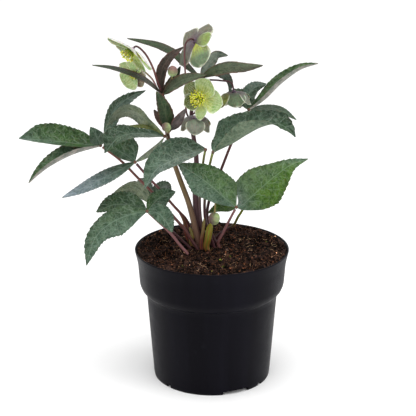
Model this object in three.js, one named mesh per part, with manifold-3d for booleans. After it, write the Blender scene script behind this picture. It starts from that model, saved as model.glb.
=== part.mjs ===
// A hellebore in flower in its black nursery pot. Millimetres, +Z up, origin at the middle of the pot's base.
// Two leafy flowering stems and a ring of long-stalked, toothed leaves rise from one crown in the soil.
import * as THREE from "three";
import { mergeVertices } from "three/addons/utils/BufferGeometryUtils.js";
import Module from "manifold-3d";

const wasm = await Module();
wasm.setup();

// ---- Driving dimensions ---------------------------------------------------------------------------
const GAP = 0.3; // clearance between neighbouring pieces
const POT_RIM_R = 95; // outer radius of the pot at its rim
const POT_HEIGHT = 166;
const POT_BASE_R = 72.5;
const POT_FLOOR = 2.0;
const POT_SIDES = 36;
const SOIL_BELOW_RIM = 2.5; // at the wall
const SOIL_MOUND = 4.5; // how far the soil is heaped above its edge
const BLADE = 0.7; // thickness of a leaf
const SEPAL = 0.8; // thickness of a sepal

// Places on the plant are given as an eye standing in front of it sees them: mm across and mm up on a sheet
// held square to the line of sight, and then how far the point stands in front of the pot's axis.
const EYE = new THREE.Vector3(-4.8, -1472, 708);
const LOOK_DOWN = THREE.MathUtils.degToRad(18.44);
const SHEET_AWAY = 1525; // from the eye to the sheet

function seen([across, up, front]) {
  const [c, s] = [Math.cos(LOOK_DOWN), Math.sin(LOOK_DOWN)];
  const ray = new THREE.Vector3(across, SHEET_AWAY * c + up * s, up * c - SHEET_AWAY * s);
  return ray.multiplyScalar((-front - EYE.y) / ray.y).add(EYE);
}

// ---- Solids ---------------------------------------------------------------------------------------
function solid(geometry) {
  const g = geometry.clone();
  g.deleteAttribute("normal");
  g.deleteAttribute("uv");
  const merged = mergeVertices(g, 1e-4);
  return new wasm.Manifold(
    new wasm.Mesh({
      numProp: 3,
      vertProperties: merged.attributes.position.array,
      triVerts: new Uint32Array(merged.index.array),
    }),
  );
}

const fuse = (solids) => solids.reduce((whole, next) => whole.add(next));

function closedMesh(points, triangles) {
  const g = new THREE.BufferGeometry();
  g.setAttribute("position", new THREE.Float32BufferAttribute(points.flatMap((p) => p.toArray()), 3));
  g.setIndex(triangles.flat());
  return solid(g);
}

const taper = ([thick, thin]) => (share) => THREE.MathUtils.lerp(thick, thin, share);

// A round stem: rings along a smooth curve through the places, with the radius found for each share of it.
function stem(places, radiusAt, sides = 6, steps = 8) {
  const path = new THREE.CatmullRomCurve3(places, false, "centripetal");
  const frames = path.computeFrenetFrames(steps);
  const points = [];
  const triangles = [];
  for (let i = 0; i <= steps; i++) {
    const middle = path.getPointAt(i / steps);
    const radius = radiusAt(i / steps);
    for (let k = 0; k < sides; k++) {
      const turn = (2 * Math.PI * k) / sides;
      points.push(
        middle
          .clone()
          .addScaledVector(frames.normals[i], radius * Math.cos(turn))
          .addScaledVector(frames.binormals[i], radius * Math.sin(turn)),
      );
      if (i === steps) continue;
      const [a, b] = [i * sides + k, i * sides + ((k + 1) % sides)];
      triangles.push([a, b, b + sides], [a, b + sides, a + sides]);
    }
  }
  const ends = [points.length, points.length + 1];
  points.push(path.getPointAt(0), path.getPointAt(1));
  for (let k = 0; k < sides; k++) {
    const next = (k + 1) % sides;
    triangles.push([ends[0], next, k], [ends[1], steps * sides + k, steps * sides + next]);
  }
  return closedMesh(points, triangles);
}

// A thin sheet: rows of points along it, given thickness on both faces, split alike on each.
function sheet(rows, thickness) {
  const [n, m] = [rows.length, rows[0].length];
  const at = (i, j) => rows[THREE.MathUtils.clamp(i, 0, n - 1)][THREE.MathUtils.clamp(j, 0, m - 1)];
  const points = [];
  for (const side of [0.5, -0.5]) {
    for (let i = 0; i < n; i++) {
      for (let j = 0; j < m; j++) {
        const along = at(i + 1, j).clone().sub(at(i - 1, j));
        const across = at(i, j + 1).clone().sub(at(i, j - 1));
        const normal = along.cross(across).normalize();
        points.push(rows[i][j].clone().addScaledVector(normal, side * thickness));
      }
    }
  }
  const triangles = [];
  const v = (face, i, j) => face * n * m + i * m + j;
  for (let i = 0; i + 1 < n; i++) {
    for (let j = 0; j + 1 < m; j++) {
      const flip = j >= (m - 1) / 2;
      const quad = [[i, j], [i + 1, j], [i + 1, j + 1], [i, j + 1]];
      const halves = flip ? [[0, 1, 3], [1, 2, 3]] : [[0, 1, 2], [0, 2, 3]];
      for (const half of halves) {
        triangles.push(half.map((k) => v(0, ...quad[k])));
        triangles.push(half.map((k) => v(1, ...quad[k])).reverse());
      }
    }
  }
  const rim = [];
  for (let j = 0; j + 1 < m; j++) rim.push([0, j]);
  for (let i = 0; i + 1 < n; i++) rim.push([i, m - 1]);
  for (let j = m - 1; j > 0; j--) rim.push([n - 1, j]);
  for (let i = n - 1; i > 0; i--) rim.push([i, 0]);
  rim.forEach(([i, j], k) => {
    const [a, b] = rim[(k + 1) % rim.length];
    triangles.push([v(0, i, j), v(0, a, b), v(1, a, b)], [v(0, i, j), v(1, a, b), v(1, i, j)]);
  });
  return closedMesh(points, triangles);
}

function knob(middle, radius, detail) {
  return solid(new THREE.IcosahedronGeometry(radius, detail).translate(...middle.toArray()));
}

// The main body of a fused solid, with any hollow that the fusing sealed filled in.
function oneBody(fused) {
  return fused.decompose().reduce((most, body) => (body.volume() > most.volume() ? body : most));
}

// A bud: an egg a little longer than wide, its point along `axis`.
function bud(middle, radius, axis) {
  const egg = new THREE.SphereGeometry(radius, 10, 7).scale(1, 1.12, 1);
  const turn = new THREE.Quaternion().setFromUnitVectors(new THREE.Vector3(0, 1, 0), axis.normalize());
  return solid(egg.applyQuaternion(turn).translate(...middle.toArray()));
}

// ---- Leaves ---------------------------------------------------------------------------------------
// How wide a leaflet is along its length, from 0 at the stalk through 1 at its belly to 0 at the tip.
function leafOutline(t, belly) {
  const phase = t < belly ? (0.5 * t) / belly : 0.5 + (0.5 * (t - belly)) / (1 - belly);
  return Math.sin(Math.PI * phase) ** 0.85;
}

// One side of a leaflet at t: how wide it is seen, and how far its edge stands in front of the rib. The side
// is one pair, which follows the outline above, or a list of pairs at even steps from stalk to tip.
function halfAt(side, t, belly) {
  if (!Array.isArray(side[0])) return side.map((value) => value * leafOutline(t, belly));
  const place = t * (side.length - 1);
  const i = Math.min(Math.floor(place), side.length - 2);
  return [0, 1].map((k) => THREE.MathUtils.lerp(side[i][k], side[i + 1][k], place - i));
}

// A toothed leaflet: its rib runs through the places given, and its two sides spread from the rib, left and
// right as seen from stalk to tip. A negative width is a side folded back over the other one.
const LEAF_TIP = 0.35; // half the width left at a leaflet's two ends
const CAMBER = 0.1; // how far each side bulges up between rib and edge, as a share of its width
function leaflet({ rib, left, right, belly = 0.42, plain = false, teeth = plain ? 4 : 5, tooth = 1.5 }) {
  const path = new THREE.CatmullRomCurve3(rib.map((p) => new THREE.Vector3(...p)), false, "centripetal");
  const steps = 2 * teeth;
  const rows = [];
  for (let i = 0; i <= steps; i++) {
    const t = i / steps;
    const middle = path.getPointAt(t);
    const along = path.getTangentAt(t);
    const side = new THREE.Vector2(-along.y, along.x).normalize();
    const edge = (half, hand) => {
      const [width, forward] = halfAt(half, t, belly);
      const notch = (i % 2) * tooth * Math.min(1, Math.abs(width) / 5);
      const out = width + (width < 0 ? -1 : 1) * (LEAF_TIP + notch);
      return seen([middle.x + hand * side.x * out, middle.y + hand * side.y * out, middle.z + forward]);
    };
    const [a, m, b] = [edge(left, 1), seen(middle.toArray()), edge(right, -1)];
    if (plain) {
      rows.push([a, m, b]);
      continue;
    }
    const ahead = seen(path.getPointAt(Math.min(1, t + 0.02)).toArray());
    const back = seen(path.getPointAt(Math.max(0, t - 0.02)).toArray());
    const flow = ahead.sub(back).normalize();
    const between = (p, hand) => {
      const reach = p.clone().sub(m);
      const rise = flow.clone().cross(reach).multiplyScalar(hand * CAMBER);
      return m.clone().addScaledVector(reach, 0.55).add(rise);
    };
    rows.push([a, between(a, -1), m, between(b, 1), b]);
  }
  return sheet(rows, BLADE);
}

// The leaflets of one leaf, joined where they meet at the end of its stalk.
const LEAF_KNOB = 2.5;
function leaf(junction, leaflets) {
  const blades = leaflets.map((l) => leaflet({ ...l, rib: [junction, ...l.rib] }));
  return oneBody(fuse([knob(seen(junction), LEAF_KNOB, 0), ...blades]));
}

// Every leaf and ring of bracts: the place where its leaflets meet, and each leaflet's rib from there to its
// tip, with its two sides. `plain` leaflets are the narrow ones, flat from rib to edge.
const LEAVES = {
  leaf_left_high: [
    [-129, 75, 10],
    [
      {
        rib: [[-154, 77, 9], [-181, 80, 6], [-204, 82, 2], [-227, 83.5, -3]],
        left: [4, 17],
        right: [[0, 0], [14, -6], [19, -8], [21, -8], [17, -6], [0, 0]],
      },
      {
        rib: [[-162, 65, 18], [-189, 51, 24], [-204, 40, 26], [-215, 30, 26]],
        left: [-4, 14],
        right: [14, -12],
      },
      { rib: [[-132, 82, 20], [-136, 89, 30], [-141, 97, 36]], left: [9, 3], right: [9, 2], plain: true },
      {
        rib: [[-122, 97, -12], [-110, 120, -24], [-94, 133, -27], [-75, 141, -28]],
        left: [[0, 0], [0, -2], [5, -6], [8, -9], [5, -5], [0, 0]],
        right: [10, 5],
      },
    ],
  ],
  leaf_left_low: [
    [-87.5, 55, 24],
    [
      {
        rib: [[-97, 63, 25], [-108, 69, 25], [-118, 74, 22], [-124, 79, 17]],
        left: [7, 6],
        right: [[0, 0], [17, -5], [22, -8], [19, -8], [11, -5], [0, 0]],
      },
      {
        rib: [[-112, 43, 34], [-136, 31, 42], [-156, 21, 46], [-175, 12.5, 48]],
        left: [8, 12],
        right: [8, -12],
      },
      { rib: [[-74, 63, 18], [-60, 75, 10], [-53, 84, 4]], left: [3, -11], right: [3, 10], plain: true },
    ],
  ],
  leaf_left_stem: [
    [-52, 86, 9],
    [
      {
        rib: [[-70, 89, 16], [-90, 89.5, 28], [-108, 84, 42], [-124, 66, 54]],
        left: [[0, 0], [4, 8], [5, 12], [6, 10], [5, 5], [0, 0]],
        right: [[0, 0], [5, -6], [6, -8], [13, -6], [15, -2], [0, 0]],
      },
      {
        rib: [[-65, 94, 2], [-78, 98, 1], [-94, 97.5, 1], [-108, 96, 2]],
        left: [2, 3],
        right: [2, -4],
        plain: true,
      },
      {
        rib: [[-63, 98, 4], [-74, 105, 2], [-85, 114, -1], [-97, 117, -4], [-110, 111, -7], [-120, 100, -10]],
        left: [9, -9],
        right: [[0, 0], [1, 2], [5, 8], [7, 10], [5, 7], [0, 0]],
      },
    ],
  ],
  leaf_low: [
    [-73, -4, 40],
    [
      {
        rib: [[-94, -8, 48], [-118, -19, 54], [-136, -37, 57], [-146, -69, 54]],
        left: [[0, 0], [13, 5], [19, 8], [12, 7], [8, 4], [0, 0]],
        right: [[0, 0], [12, -6], [14, -9], [12, -7], [8, -4], [0, 0]],
      },
      { rib: [[-91, 3, 38], [-113, 4, 34], [-134, -5, 28]], left: [9, 5], right: [15, -9] },
      { rib: [[-61, -6, 48], [-52, -14, 52], [-43, -29, 54]], left: [13, -4], right: [8, 5] },
      {
        rib: [[-63, 8, 36], [-52, 16, 32], [-39, 19.5, 28]],
        left: [10, -8],
        right: [12, 6],
        plain: true,
      },
    ],
  ],
  leaf_low_back: [
    [-70, 6, 8],
    [
      {
        rib: [[-77, 16, 4], [-87, 24, 0], [-99, 22, -3], [-114, 17, -6]],
        left: [8, -9],
        right: [8, 9],
        plain: true,
      },
      { rib: [[-74, 24, -20], [-80, 30, -48], [-84, 26, -72]], left: [8, -6], right: [8, 4], plain: true },
      { rib: [[-58, 22, -20], [-50, 26, -42], [-44, 20, -62]], left: [8, -4], right: [8, -4], plain: true },
    ],
  ],
  leaf_middle: [
    [-3, 70, 26],
    [
      {
        rib: [[-22, 65, 38], [-43, 57, 48], [-62, 46, 56], [-76, 23, 58]],
        left: [[0, 0], [5, 12], [7, 16], [7, 12], [4, 6], [0, 0]],
        right: [[2, 0], [19, -8], [25, -10], [22, -8], [12, -3], [0, 0]],
      },
    ],
  ],
  leaf_right_middle: [
    [6, 67, 30],
    [
      {
        rib: [[29, 78, 36], [47, 89, 37], [65, 98, 34], [83, 101, 30], [96, 95, 27], [105, 85, 25]],
        left: [[5, -3], [30, -16], [28, -17], [20, -13], [14, -7], [0, 0]],
        right: [[0, 0], [-12, 16], [-16, 17], [-7, 15], [4, 8], [0, 0]],
      },
      {
        rib: [[12, 78, 12], [24, 88, 3], [38, 95, -4], [50, 100, -8]],
        left: [8, -4],
        right: [8, 4],
        plain: true,
      },
    ],
  ],
  leaf_right_high: [
    [49, 118, -25],
    [
      {
        rib: [[67, 130, -29], [89, 151, -33], [112, 167, -35], [132, 173.5, -36]],
        left: [11, -14],
        right: [-4, 12],
      },
      { rib: [[47, 132, -33], [55, 144, -39], [70, 149, -43]], left: [9, -6], right: [8, 4], plain: true },
      {
        rib: [[68, 119, -36], [88, 117, -44], [106, 106, -48]],
        left: [5, -12],
        right: [5, 12],
        plain: true,
      },
      {
        rib: [[46, 128, -56], [31, 134, -82], [15, 128, -104]],
        left: [11, 0],
        right: [11, 0],
        plain: true,
      },
    ],
  ],
  leaf_right_low: [
    [34, 1, 20],
    [
      {
        rib: [[40, 3, 21], [57, 18, 26], [80, 38, 30], [100, 52, 30], [120, 59, 26]],
        left: [[0, 0], [25, -6], [26, -9], [16, -7], [7, -3], [0, 0]],
        right: [[0, 0], [20, 8], [27, 11], [19, 8], [7, 4], [0, 0]],
      },
      {
        rib: [[18, 14, 26], [2, 28, 32], [-16, 41, 38], [-37, 54, 42]],
        left: [[0, 0], [10, 6], [17, 9], [20, 9], [11, 5], [0, 0]],
        right: [[0, 0], [22, -6], [23, -9], [20, -9], [11, -5], [0, 0]],
      },
      { rib: [[25, -1, 6], [14, -1.5, -6], [0, -6, -16]], left: [3, 4], right: [10, -5], plain: true },
    ],
  ],
  bracts_left: [
    [-54, 136, 4],
    [
      {
        rib: [[-43, 146, 13], [-30, 154, 18], [-16, 157.5, 21], [-2, 160, 22]],
        left: [7, -8],
        right: [6, 9],
        plain: true,
      },
      {
        rib: [[-74, 153, 8], [-92, 161.5, 10], [-116, 168.5, 12], [-139, 171.5, 12]],
        left: [3, 9],
        right: [3, -9],
        plain: true,
      },
      {
        rib: [[-57, 151, 2], [-55, 167, 2], [-46, 181, 0], [-29, 193.5, -4]],
        left: [6, -4],
        right: [6, 6],
        plain: true,
      },
      {
        rib: [[-46, 146, -13], [-39, 158, -18], [-33, 170, -21]],
        left: [6, 0],
        right: [6, 0],
        plain: true,
      },
    ],
  ],
  bracts_top: [
    [-9, 156, -2],
    [
      {
        rib: [[5, 164, 4], [24, 169.5, 5], [45, 169.5, 3], [66, 171, -1]],
        left: [6, -10],
        right: [8, 10],
        plain: true,
      },
      {
        rib: [[-24, 170, -13], [-39, 185, -22], [-58, 195, -28], [-78, 200, -32], [-97, 203.5, -34]],
        left: [5, 8],
        right: [4, -8],
        plain: true,
      },
      { rib: [[0, 171, -16], [10, 184, -24], [24, 183, -32]], left: [6, 3], right: [7, -4], plain: true },
      {
        rib: [[0, 164, -16], [14, 163, -32], [26, 152, -44], [26, 137, -52]],
        left: [6, 0],
        right: [6, 0],
        plain: true,
      },
    ],
  ],
  bracts_middle: [
    [-46, 93, 14],
    [
      {
        rib: [[-49, 105, 18], [-52, 118, 20], [-57, 130, 20], [-62, 140, 16]],
        left: [9, -3],
        right: [9, -3],
        belly: 0.35,
        plain: true,
      },
      { rib: [[-54, 103, 10], [-60, 110, 8], [-65, 118, 5]], left: [5, 3], right: [6, -3], plain: true },
      { rib: [[-38, 101, 20], [-32, 110, 24], [-27, 119, 25]], left: [6, 6], right: [5, -3], plain: true },
    ],
  ],
};

// ---- Flowers --------------------------------------------------------------------------------------
// Each flower: the place of its receptacle, the way it faces in X, Y and Z, its sepals' length, how wide each
// sepal opens (the angle between its tip and the facing), how far round the first sepal is turned, and half a
// sepal's width as a share of its length.
const FLOWERS = {
  flower_front: {
    at: [-8.5, 132, 12],
    facing: [-0.33, -0.93, 0.12],
    length: 27,
    open: [47, 22, 26, 38, 72],
    turn: -14,
    wide: 0.5,
  },
  flower_top: {
    at: [-15.4, 200.5, -2],
    facing: [0.65, 0.5, -0.57],
    length: 29,
    open: [58, 56, 62, 46, 62],
    turn: 9,
    wide: 0.48,
  },
  flower_left: {
    at: [-91, 190, 26],
    facing: [-0.62, -0.4, -0.68],
    length: 30,
    open: [68, 68, 68, 68, 68],
    turn: 20,
    wide: 0.46,
  },
  flower_left_back: {
    at: [-86, 162, -21],
    facing: [-0.5, -0.75, -0.3],
    length: 22,
    open: [60, 60, 60, 60, 60],
    turn: 4,
    wide: 0.5,
  },
  flower_right_back: {
    at: [31, 139, -15],
    facing: [0.1, -0.12, -0.95],
    length: 28,
    open: [0, 0, 0, 0, 0],
    turn: 10,
    wide: 0.38,
  },
  flower_middle: {
    at: [-14, 109, 9],
    facing: [-0.05, 0.05, -0.99],
    length: 27,
    open: [-4, -4, -4, -4, -4],
    turn: 36,
    wide: 0.37,
  },
};
const SEPAL_LAYERS = [0, 1.9, 0, 1.9, 0.95]; // mm that each sepal lies outside the innermost ones
const SEPAL_START = 94; // degrees from the facing at which a sepal leaves the receptacle
const SEPAL_CUP = 0.28; // how deep a sepal is cupped across, as a share of half its width
const RECEPTACLE = 3;

// A flower's own three directions: across, up and the way it faces.
function flowerFrame({ facing, turn }) {
  const z = new THREE.Vector3(...facing).normalize();
  const x = new THREE.Vector3(0, 0, 1).cross(z).normalize();
  const frame = new THREE.Matrix4().makeBasis(x, z.clone().cross(x), z);
  return frame.multiply(new THREE.Matrix4().makeRotationZ(THREE.MathUtils.degToRad(turn)));
}

// A broad cupped sepal in the flower's frame: it leaves the receptacle sideways and bends to face forward.
function sepal(number, { length, open, wide }, frame, middle) {
  const around = (2 * Math.PI * number) / SEPAL_LAYERS.length + Math.PI / 2;
  const spread = open[number];
  const behind = THREE.MathUtils.degToRad(spread);
  const layer = SEPAL_LAYERS[number];
  const [steps, columns] = [spread < 30 ? 3 : 4, 2];
  const rows = [];
  let [out, forward] = [0.5 + layer * Math.cos(behind), 1.2 - layer * Math.sin(behind)];
  for (let i = 0; i <= steps; i++) {
    const t = i / steps;
    const half = length * wide * Math.sin(Math.PI * (0.07 + 0.79 * t)) ** 0.8;
    const lean = THREE.MathUtils.degToRad(THREE.MathUtils.lerp(SEPAL_START, spread, Math.sqrt(t)));
    const row = [];
    for (let j = 0; j <= columns; j++) {
      const s = (2 * j) / columns - 1;
      const lift = SEPAL_CUP * half * s * s;
      const local = new THREE.Vector3(out - lift * Math.cos(lean), s * half, forward + lift * Math.sin(lean));
      row.push(local.applyAxisAngle(new THREE.Vector3(0, 0, 1), around).applyMatrix4(frame).add(middle));
    }
    rows.push(row);
    out += (length / steps) * Math.sin(lean);
    forward += (length / steps) * Math.cos(lean);
  }
  return sheet(rows, SEPAL);
}

function sepals(flower) {
  const [frame, middle] = [flowerFrame(flower), seen(flower.at)];
  const ring = SEPAL_LAYERS.map((_, k) => sepal(k, flower, frame, middle));
  return oneBody(fuse([knob(middle, RECEPTACLE, 0), ...ring]));
}

// The stamens stand on one small disc in front of the receptacle, in rings, round the carpels.
const STAMENS = 6;
const STAMEN_REACH = 8.4; // how far the outermost stamens lean out
const STAMEN_HEIGHT = 10.5;
const GOLDEN_TURN = Math.PI * (3 - Math.sqrt(5));
function stamens(flower) {
  const [frame, middle] = [flowerFrame(flower), seen(flower.at)];
  const place = (x, y, z) => new THREE.Vector3(x, y, z).applyMatrix4(frame).add(middle);
  const foot = RECEPTACLE + GAP + 0.5;
  const parts = [stem([place(0, 0, foot - 0.5), place(0, 0, foot + 2.2)], taper([2.6, 2.2]), 6, 1)];
  for (let k = 0; k < STAMENS; k++) {
    const turn = k * GOLDEN_TURN;
    const spread = Math.sqrt((k + 0.5) / STAMENS);
    const [c, s] = [Math.cos(turn), Math.sin(turn)];
    const tip = [STAMEN_REACH * spread, foot + STAMEN_HEIGHT * (1 - 0.3 * spread)];
    const spot = (share) => place(c * tip[0] * share, s * tip[0] * share, foot + (tip[1] - foot) * share);
    parts.push(stem([spot(0.16), spot(1)], taper([0.6, 1.3]), 3, 1));
  }
  return oneBody(fuse(parts));
}

// ---- Stalks ---------------------------------------------------------------------------------------
const SOIL_TOP = POT_HEIGHT - SOIL_BELOW_RIM + SOIL_MOUND; // at the crown
const ROOT_DEPTH = 9;

// Each stalk: where it stands in the soil (X and Y), the places it runs through, its two radii, and how far
// short of the last place it ends.
const STALKS = {
  stem_left: {
    root: [-14, -5],
    run: [
      [-16, -20, 9], [-23, 6, 7], [-33, 33, 5], [-41, 56, 2],
      [-48, 86, -1], [-52, 112, 0], [-54, 136, 4],
    ],
    r: [3.9, 2.2],
    end: 2.8,
  },
  stem_right: {
    root: [-4, 4],
    run: [
      [-11, -20, 0], [-15, 14, -1], [-14, 40, -5], [-14, 62, -8],
      [-20, 112, -12], [-15, 135, -10], [-9, 156, -2],
    ],
    r: [4.3, 1.9],
    end: 2.8,
  },
  stalk_left_high: {
    root: [-17, -14],
    run: [
      [-20, -38, 14], [-27, -27, 16], [-46, -5, 17], [-62, 14, 14],
      [-84, 36, 12], [-106, 58, 12], [-129, 75, 10],
    ],
    r: [2.2, 1.7],
    end: 2.9,
  },
  stalk_left_low: {
    root: [-21, 8],
    run: [
      [-21, -26, -6], [-26, -14, 1], [-35, -4, 11], [-45, 7, 19],
      [-56, 20.5, 22], [-70, 35, 24], [-87.5, 55, 24],
    ],
    r: [2.1, 1.7],
    end: 2.9,
  },
  stalk_low: {
    root: [-28, -34],
    run: [[-34, -44, 34], [-46, -29, 37], [-60, -16, 39], [-73, -4, 40]],
    r: [2.2, 1.7],
    end: 2.9,
  },
  stalk_low_back: {
    root: [-25, -13],
    run: [[-32, -38, 12], [-42, -29, 14], [-56, -14, 13], [-70, 6, 8]],
    r: [1.8, 1.4],
    end: 2.9,
  },
  stalk_middle: {
    root: [-4, -6],
    run: [[-7.5, -20, 8], [-9.5, -4, 8], [-9.8, 16, 7], [-7, 46, 9], [-5, 60, 14], [-3, 70, 26]],
    r: [2.2, 1.6],
    end: 2.9,
  },
  stalk_right_middle: {
    root: [3, -10],
    run: [[-2, -20, 12], [-4, -6, 11], [-3.8, 12, 10], [0, 42, 14], [3.6, 58, 19], [6, 67, 30]],
    r: [2.2, 1.7],
    end: 2.9,
  },
  stalk_right_high: {
    root: [6, 4],
    run: [
      [2, -26, -4], [-1, -8, -6], [2, 11, -8], [15, 44, -14],
      [28, 77, -20], [40, 103, -24], [49, 118, -25],
    ],
    r: [2.2, 1.8],
    end: 2.9,
  },
  stalk_right_low: {
    root: [9, -5],
    run: [[12, -42, 6], [18, -30, 10], [26, -14, 16], [34, 1, 20]],
    r: [2.4, 1.6],
    end: 3.9,
  },
  stalk_right_second: {
    root: [3, 12],
    run: [[14, -31, -8], [24, -25, -5], [31, -20, 0], [36, -11, 5], [41, -3, 9]],
    r: [2, 1.6],
    end: 0.5,
  },
};
// Short stalks that leave a stem or a ring of bracts: their places, radii, and how far short of their ends.
const SIDE_STALKS = {
  pedicel_top: {
    run: [
      [-19, 106, -12], [-25, 112, -5], [-27, 130, -3], [-27, 155, 0],
      [-28, 186, 4], [-26, 199, 7], [-21, 203, 6], [-15.4, 200.5, -2],
    ],
    r: [1.1, 1],
    start: 3.8,
    end: 3.45,
  },
  pedicel_front: {
    run: [[-9, 156, -2], [-7, 151, 1], [-4, 142, 3], [-8.5, 132, 12]],
    r: [1.1, 1],
    start: 2.6,
    end: 3.1,
  },
  pedicel_right_back: {
    run: [[-9, 156, -2], [0, 154, -6], [14, 153, -12], [28, 150, -15], [31, 139, -15]],
    r: [1.1, 1],
    start: 4,
    end: 2.9,
  },
  pedicel_middle: {
    run: [[-20, 112, -12], [-16, 114, -6], [-14, 118, 3], [-14, 109, 9]],
    r: [1.1, 1],
    start: 4.7,
    end: 3.1,
  },
  pedicel_left: {
    run: [[-54, 136, 4], [-60, 150, 8], [-66, 168, 14], [-76, 186, 18], [-86, 194, 20], [-91, 190, 26]],
    r: [1.4, 1.1],
    start: 5,
    end: 4,
  },
  pedicel_left_back: {
    run: [[-54, 136, 4], [-60, 142, -8], [-68, 156, -22], [-81, 166, -28], [-86, 162, -21]],
    r: [1.2, 1],
    start: 3.4,
    end: 4.2,
  },
  stalk_left_stem: {
    run: [[-48, 85, -1], [-50, 85.5, 4], [-52, 86, 9]],
    r: [1.5, 1.3],
    start: 3.8,
    end: 2.8,
  },
  stalk_bracts: {
    run: [[-49, 90, -1], [-48, 91, 6], [-46, 93, 14]],
    r: [1.5, 1.3],
    start: 3.8,
    end: 2.8,
  },
};
// Sheaths: blunt scales that wrap the crown. Each has its root, its places, and its widest radius.
const SHEATHS = {
  sheath_right: {
    root: [-5, -17],
    run: [[-2, -46, 17], [0, -36, 17.5], [1.5, -26, 17], [3, -18, 16]],
    r: 4.1,
  },
  sheath_middle: {
    root: [-12, -15],
    run: [[-8, -40, 15], [-6, -28, 15], [-4.5, -12, 14]],
    r: 2.3,
  },
  sheath_left: {
    root: [-23, -3],
    run: [[-20, -40, 4], [-18.5, -32, 5], [-22, -23, 4]],
    r: 3.1,
  },
  sheath_brown: {
    root: [-27, 14],
    run: [[-26, -30, -12], [-28, -16, -11], [-38, 1.5, -10]],
    r: 3.4,
  },
};
// A bud hangs or stands at the end of its own stalk.
const BUDS = {
  bud_middle: {
    at: [-50, 97, 27],
    radius: 5.6,
    axis: [-0.3, -0.6, 0.7],
    run: [[-46, 93, 13], [-47, 91, 20], [-50, 97, 27]],
    start: 3.5,
  },
  bud_left: {
    at: [-42.5, 164, 4],
    radius: 6.2,
    axis: [-0.1, -0.3, 0.95],
    run: [[-54, 136, 4], [-49, 145, -4], [-44, 154, -2], [-42.5, 164, 4]],
    start: 6,
  },
  bud_low: {
    at: [7.5, -12.5, 26],
    radius: 7.2,
    axis: [-0.1, -0.4, -0.9],
    run: [
      [-14, 46, -6], [-6, 50, -5], [4, 47, 0], [9, 38, 11],
      [10, 23, 22], [9, 9, 26], [7.5, -12.5, 26],
    ],
    start: 3.8,
  },
};

const STALK_STEPS = 7;
const SIDE_STALK_STEPS = 5;
const BUD_STALK = [1.3, 1.1]; // radii at its two ends

// A path cut back by so many mm at its start and its end, so that it stops just short of what it meets.
function cutBack(places, start, end) {
  const path = new THREE.CatmullRomCurve3(places, false, "centripetal");
  const length = path.getLength();
  const count = places.length + 1;
  const share = (i) => Math.min(1, (start + ((length - start - end) * i) / count) / length);
  return Array.from({ length: count + 1 }, (_, i) => path.getPointAt(share(i)));
}

function rooted(root, run, end) {
  const foot = [SOIL_TOP - ROOT_DEPTH, SOIL_TOP - 1].map((z) => new THREE.Vector3(...root, z));
  return cutBack([...foot, ...run.map(seen)], 0, end);
}

const stalkPath = ({ root, run, start = 0, end = 0 }) =>
  root ? rooted(root, run, end) : cutBack(run.map(seen), start, end);

// A sheath swells to its widest below the middle and closes to a blunt tip. `clear` is added for its hole.
function sheathRadius(widest, clear = 0) {
  return (share) => {
    const swell = 0.55 + 0.45 * Math.sin(Math.PI * Math.min(share * 1.15, 1)) ** 0.8;
    return 0.3 + clear + widest * swell * (1 - share ** 4);
  };
}

// ---- Pot and soil ---------------------------------------------------------------------------------
// The pot's outside, from its foot up to its rolled rim: a tapered body under a deep, wider collar.
const WALL = [
  [POT_BASE_R, 0], [73.2, 4], [80.6, 103], [82, 110], [86.2, 116], [89.2, 124], [91.4, 149], [94, 161],
  [POT_RIM_R, 165.2],
];
const CHANNEL = { inner: 46, outer: 69.5, height: 5 }; // the raised ring under the base, inside the foot
const PLATE = CHANNEL.height + POT_FLOOR; // top of the pot's floor over the raised ring
const INSIDE = [[71.8, PLATE], [79.6, 112], [87.6, 124], [89.8, 149], [93.6, POT_HEIGHT]]; // the inner face
const WIDE_DRAIN = { chord: 33, height: 4.4, turns: [24, 144, 264] }; // turns in degrees from the front
const NARROW_DRAIN = { chord: 6, height: 3.4, turns: [54, -47, 114, 174, -126] };
const DRAIN_HOLE = { length: 16, width: 7, radius: 60 };

function insideRadius(z) {
  const i = Math.max(1, INSIDE.findIndex(([, top]) => top >= z));
  const [[r0, z0], [r1, z1]] = [INSIDE[i - 1], INSIDE[i]];
  return r0 + ((r1 - r0) * (z - z0)) / (z1 - z0);
}

// A box at the front of the pot, turned round to its place.
const boxAt = (size, middle, turn) =>
  solid(new THREE.BoxGeometry(...size).translate(...middle).rotateZ(THREE.MathUtils.degToRad(turn)));

function pot() {
  const { inner, outer, height } = CHANNEL;
  const under = [[0, 0], [inner, 0], [inner + 1.5, height], [outer, height], [70.6, 0]];
  const lip = [[POT_RIM_R - 0.4, POT_HEIGHT]];
  const floor = [[inner, PLATE], [inner - 1.5, POT_FLOOR], [0, POT_FLOOR]];
  const outline = [...under, ...WALL, ...lip, ...[...INSIDE].reverse(), ...floor];
  const profile = outline.map(([r, z]) => new THREE.Vector2(r, z));
  let body = solid(new THREE.LatheGeometry(profile, POT_SIDES).rotateX(Math.PI / 2));
  for (const drain of [WIDE_DRAIN, NARROW_DRAIN]) {
    for (const turn of drain.turns) {
      body = body.subtract(boxAt([drain.chord, 12, 2 * drain.height], [0, -POT_BASE_R, 0], turn));
    }
  }
  for (const turn of WIDE_DRAIN.turns) {
    const { length, width, radius } = DRAIN_HOLE;
    body = body.subtract(boxAt([length, width, 12], [0, -radius, height], turn));
  }
  return body;
}

// A repeatable random number from 0 to 1.
function randomFrom(seed) {
  let state = seed;
  return () => {
    state = (state * 1664525 + 1013904223) % 4294967296;
    return state / 4294967296;
  };
}

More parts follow.
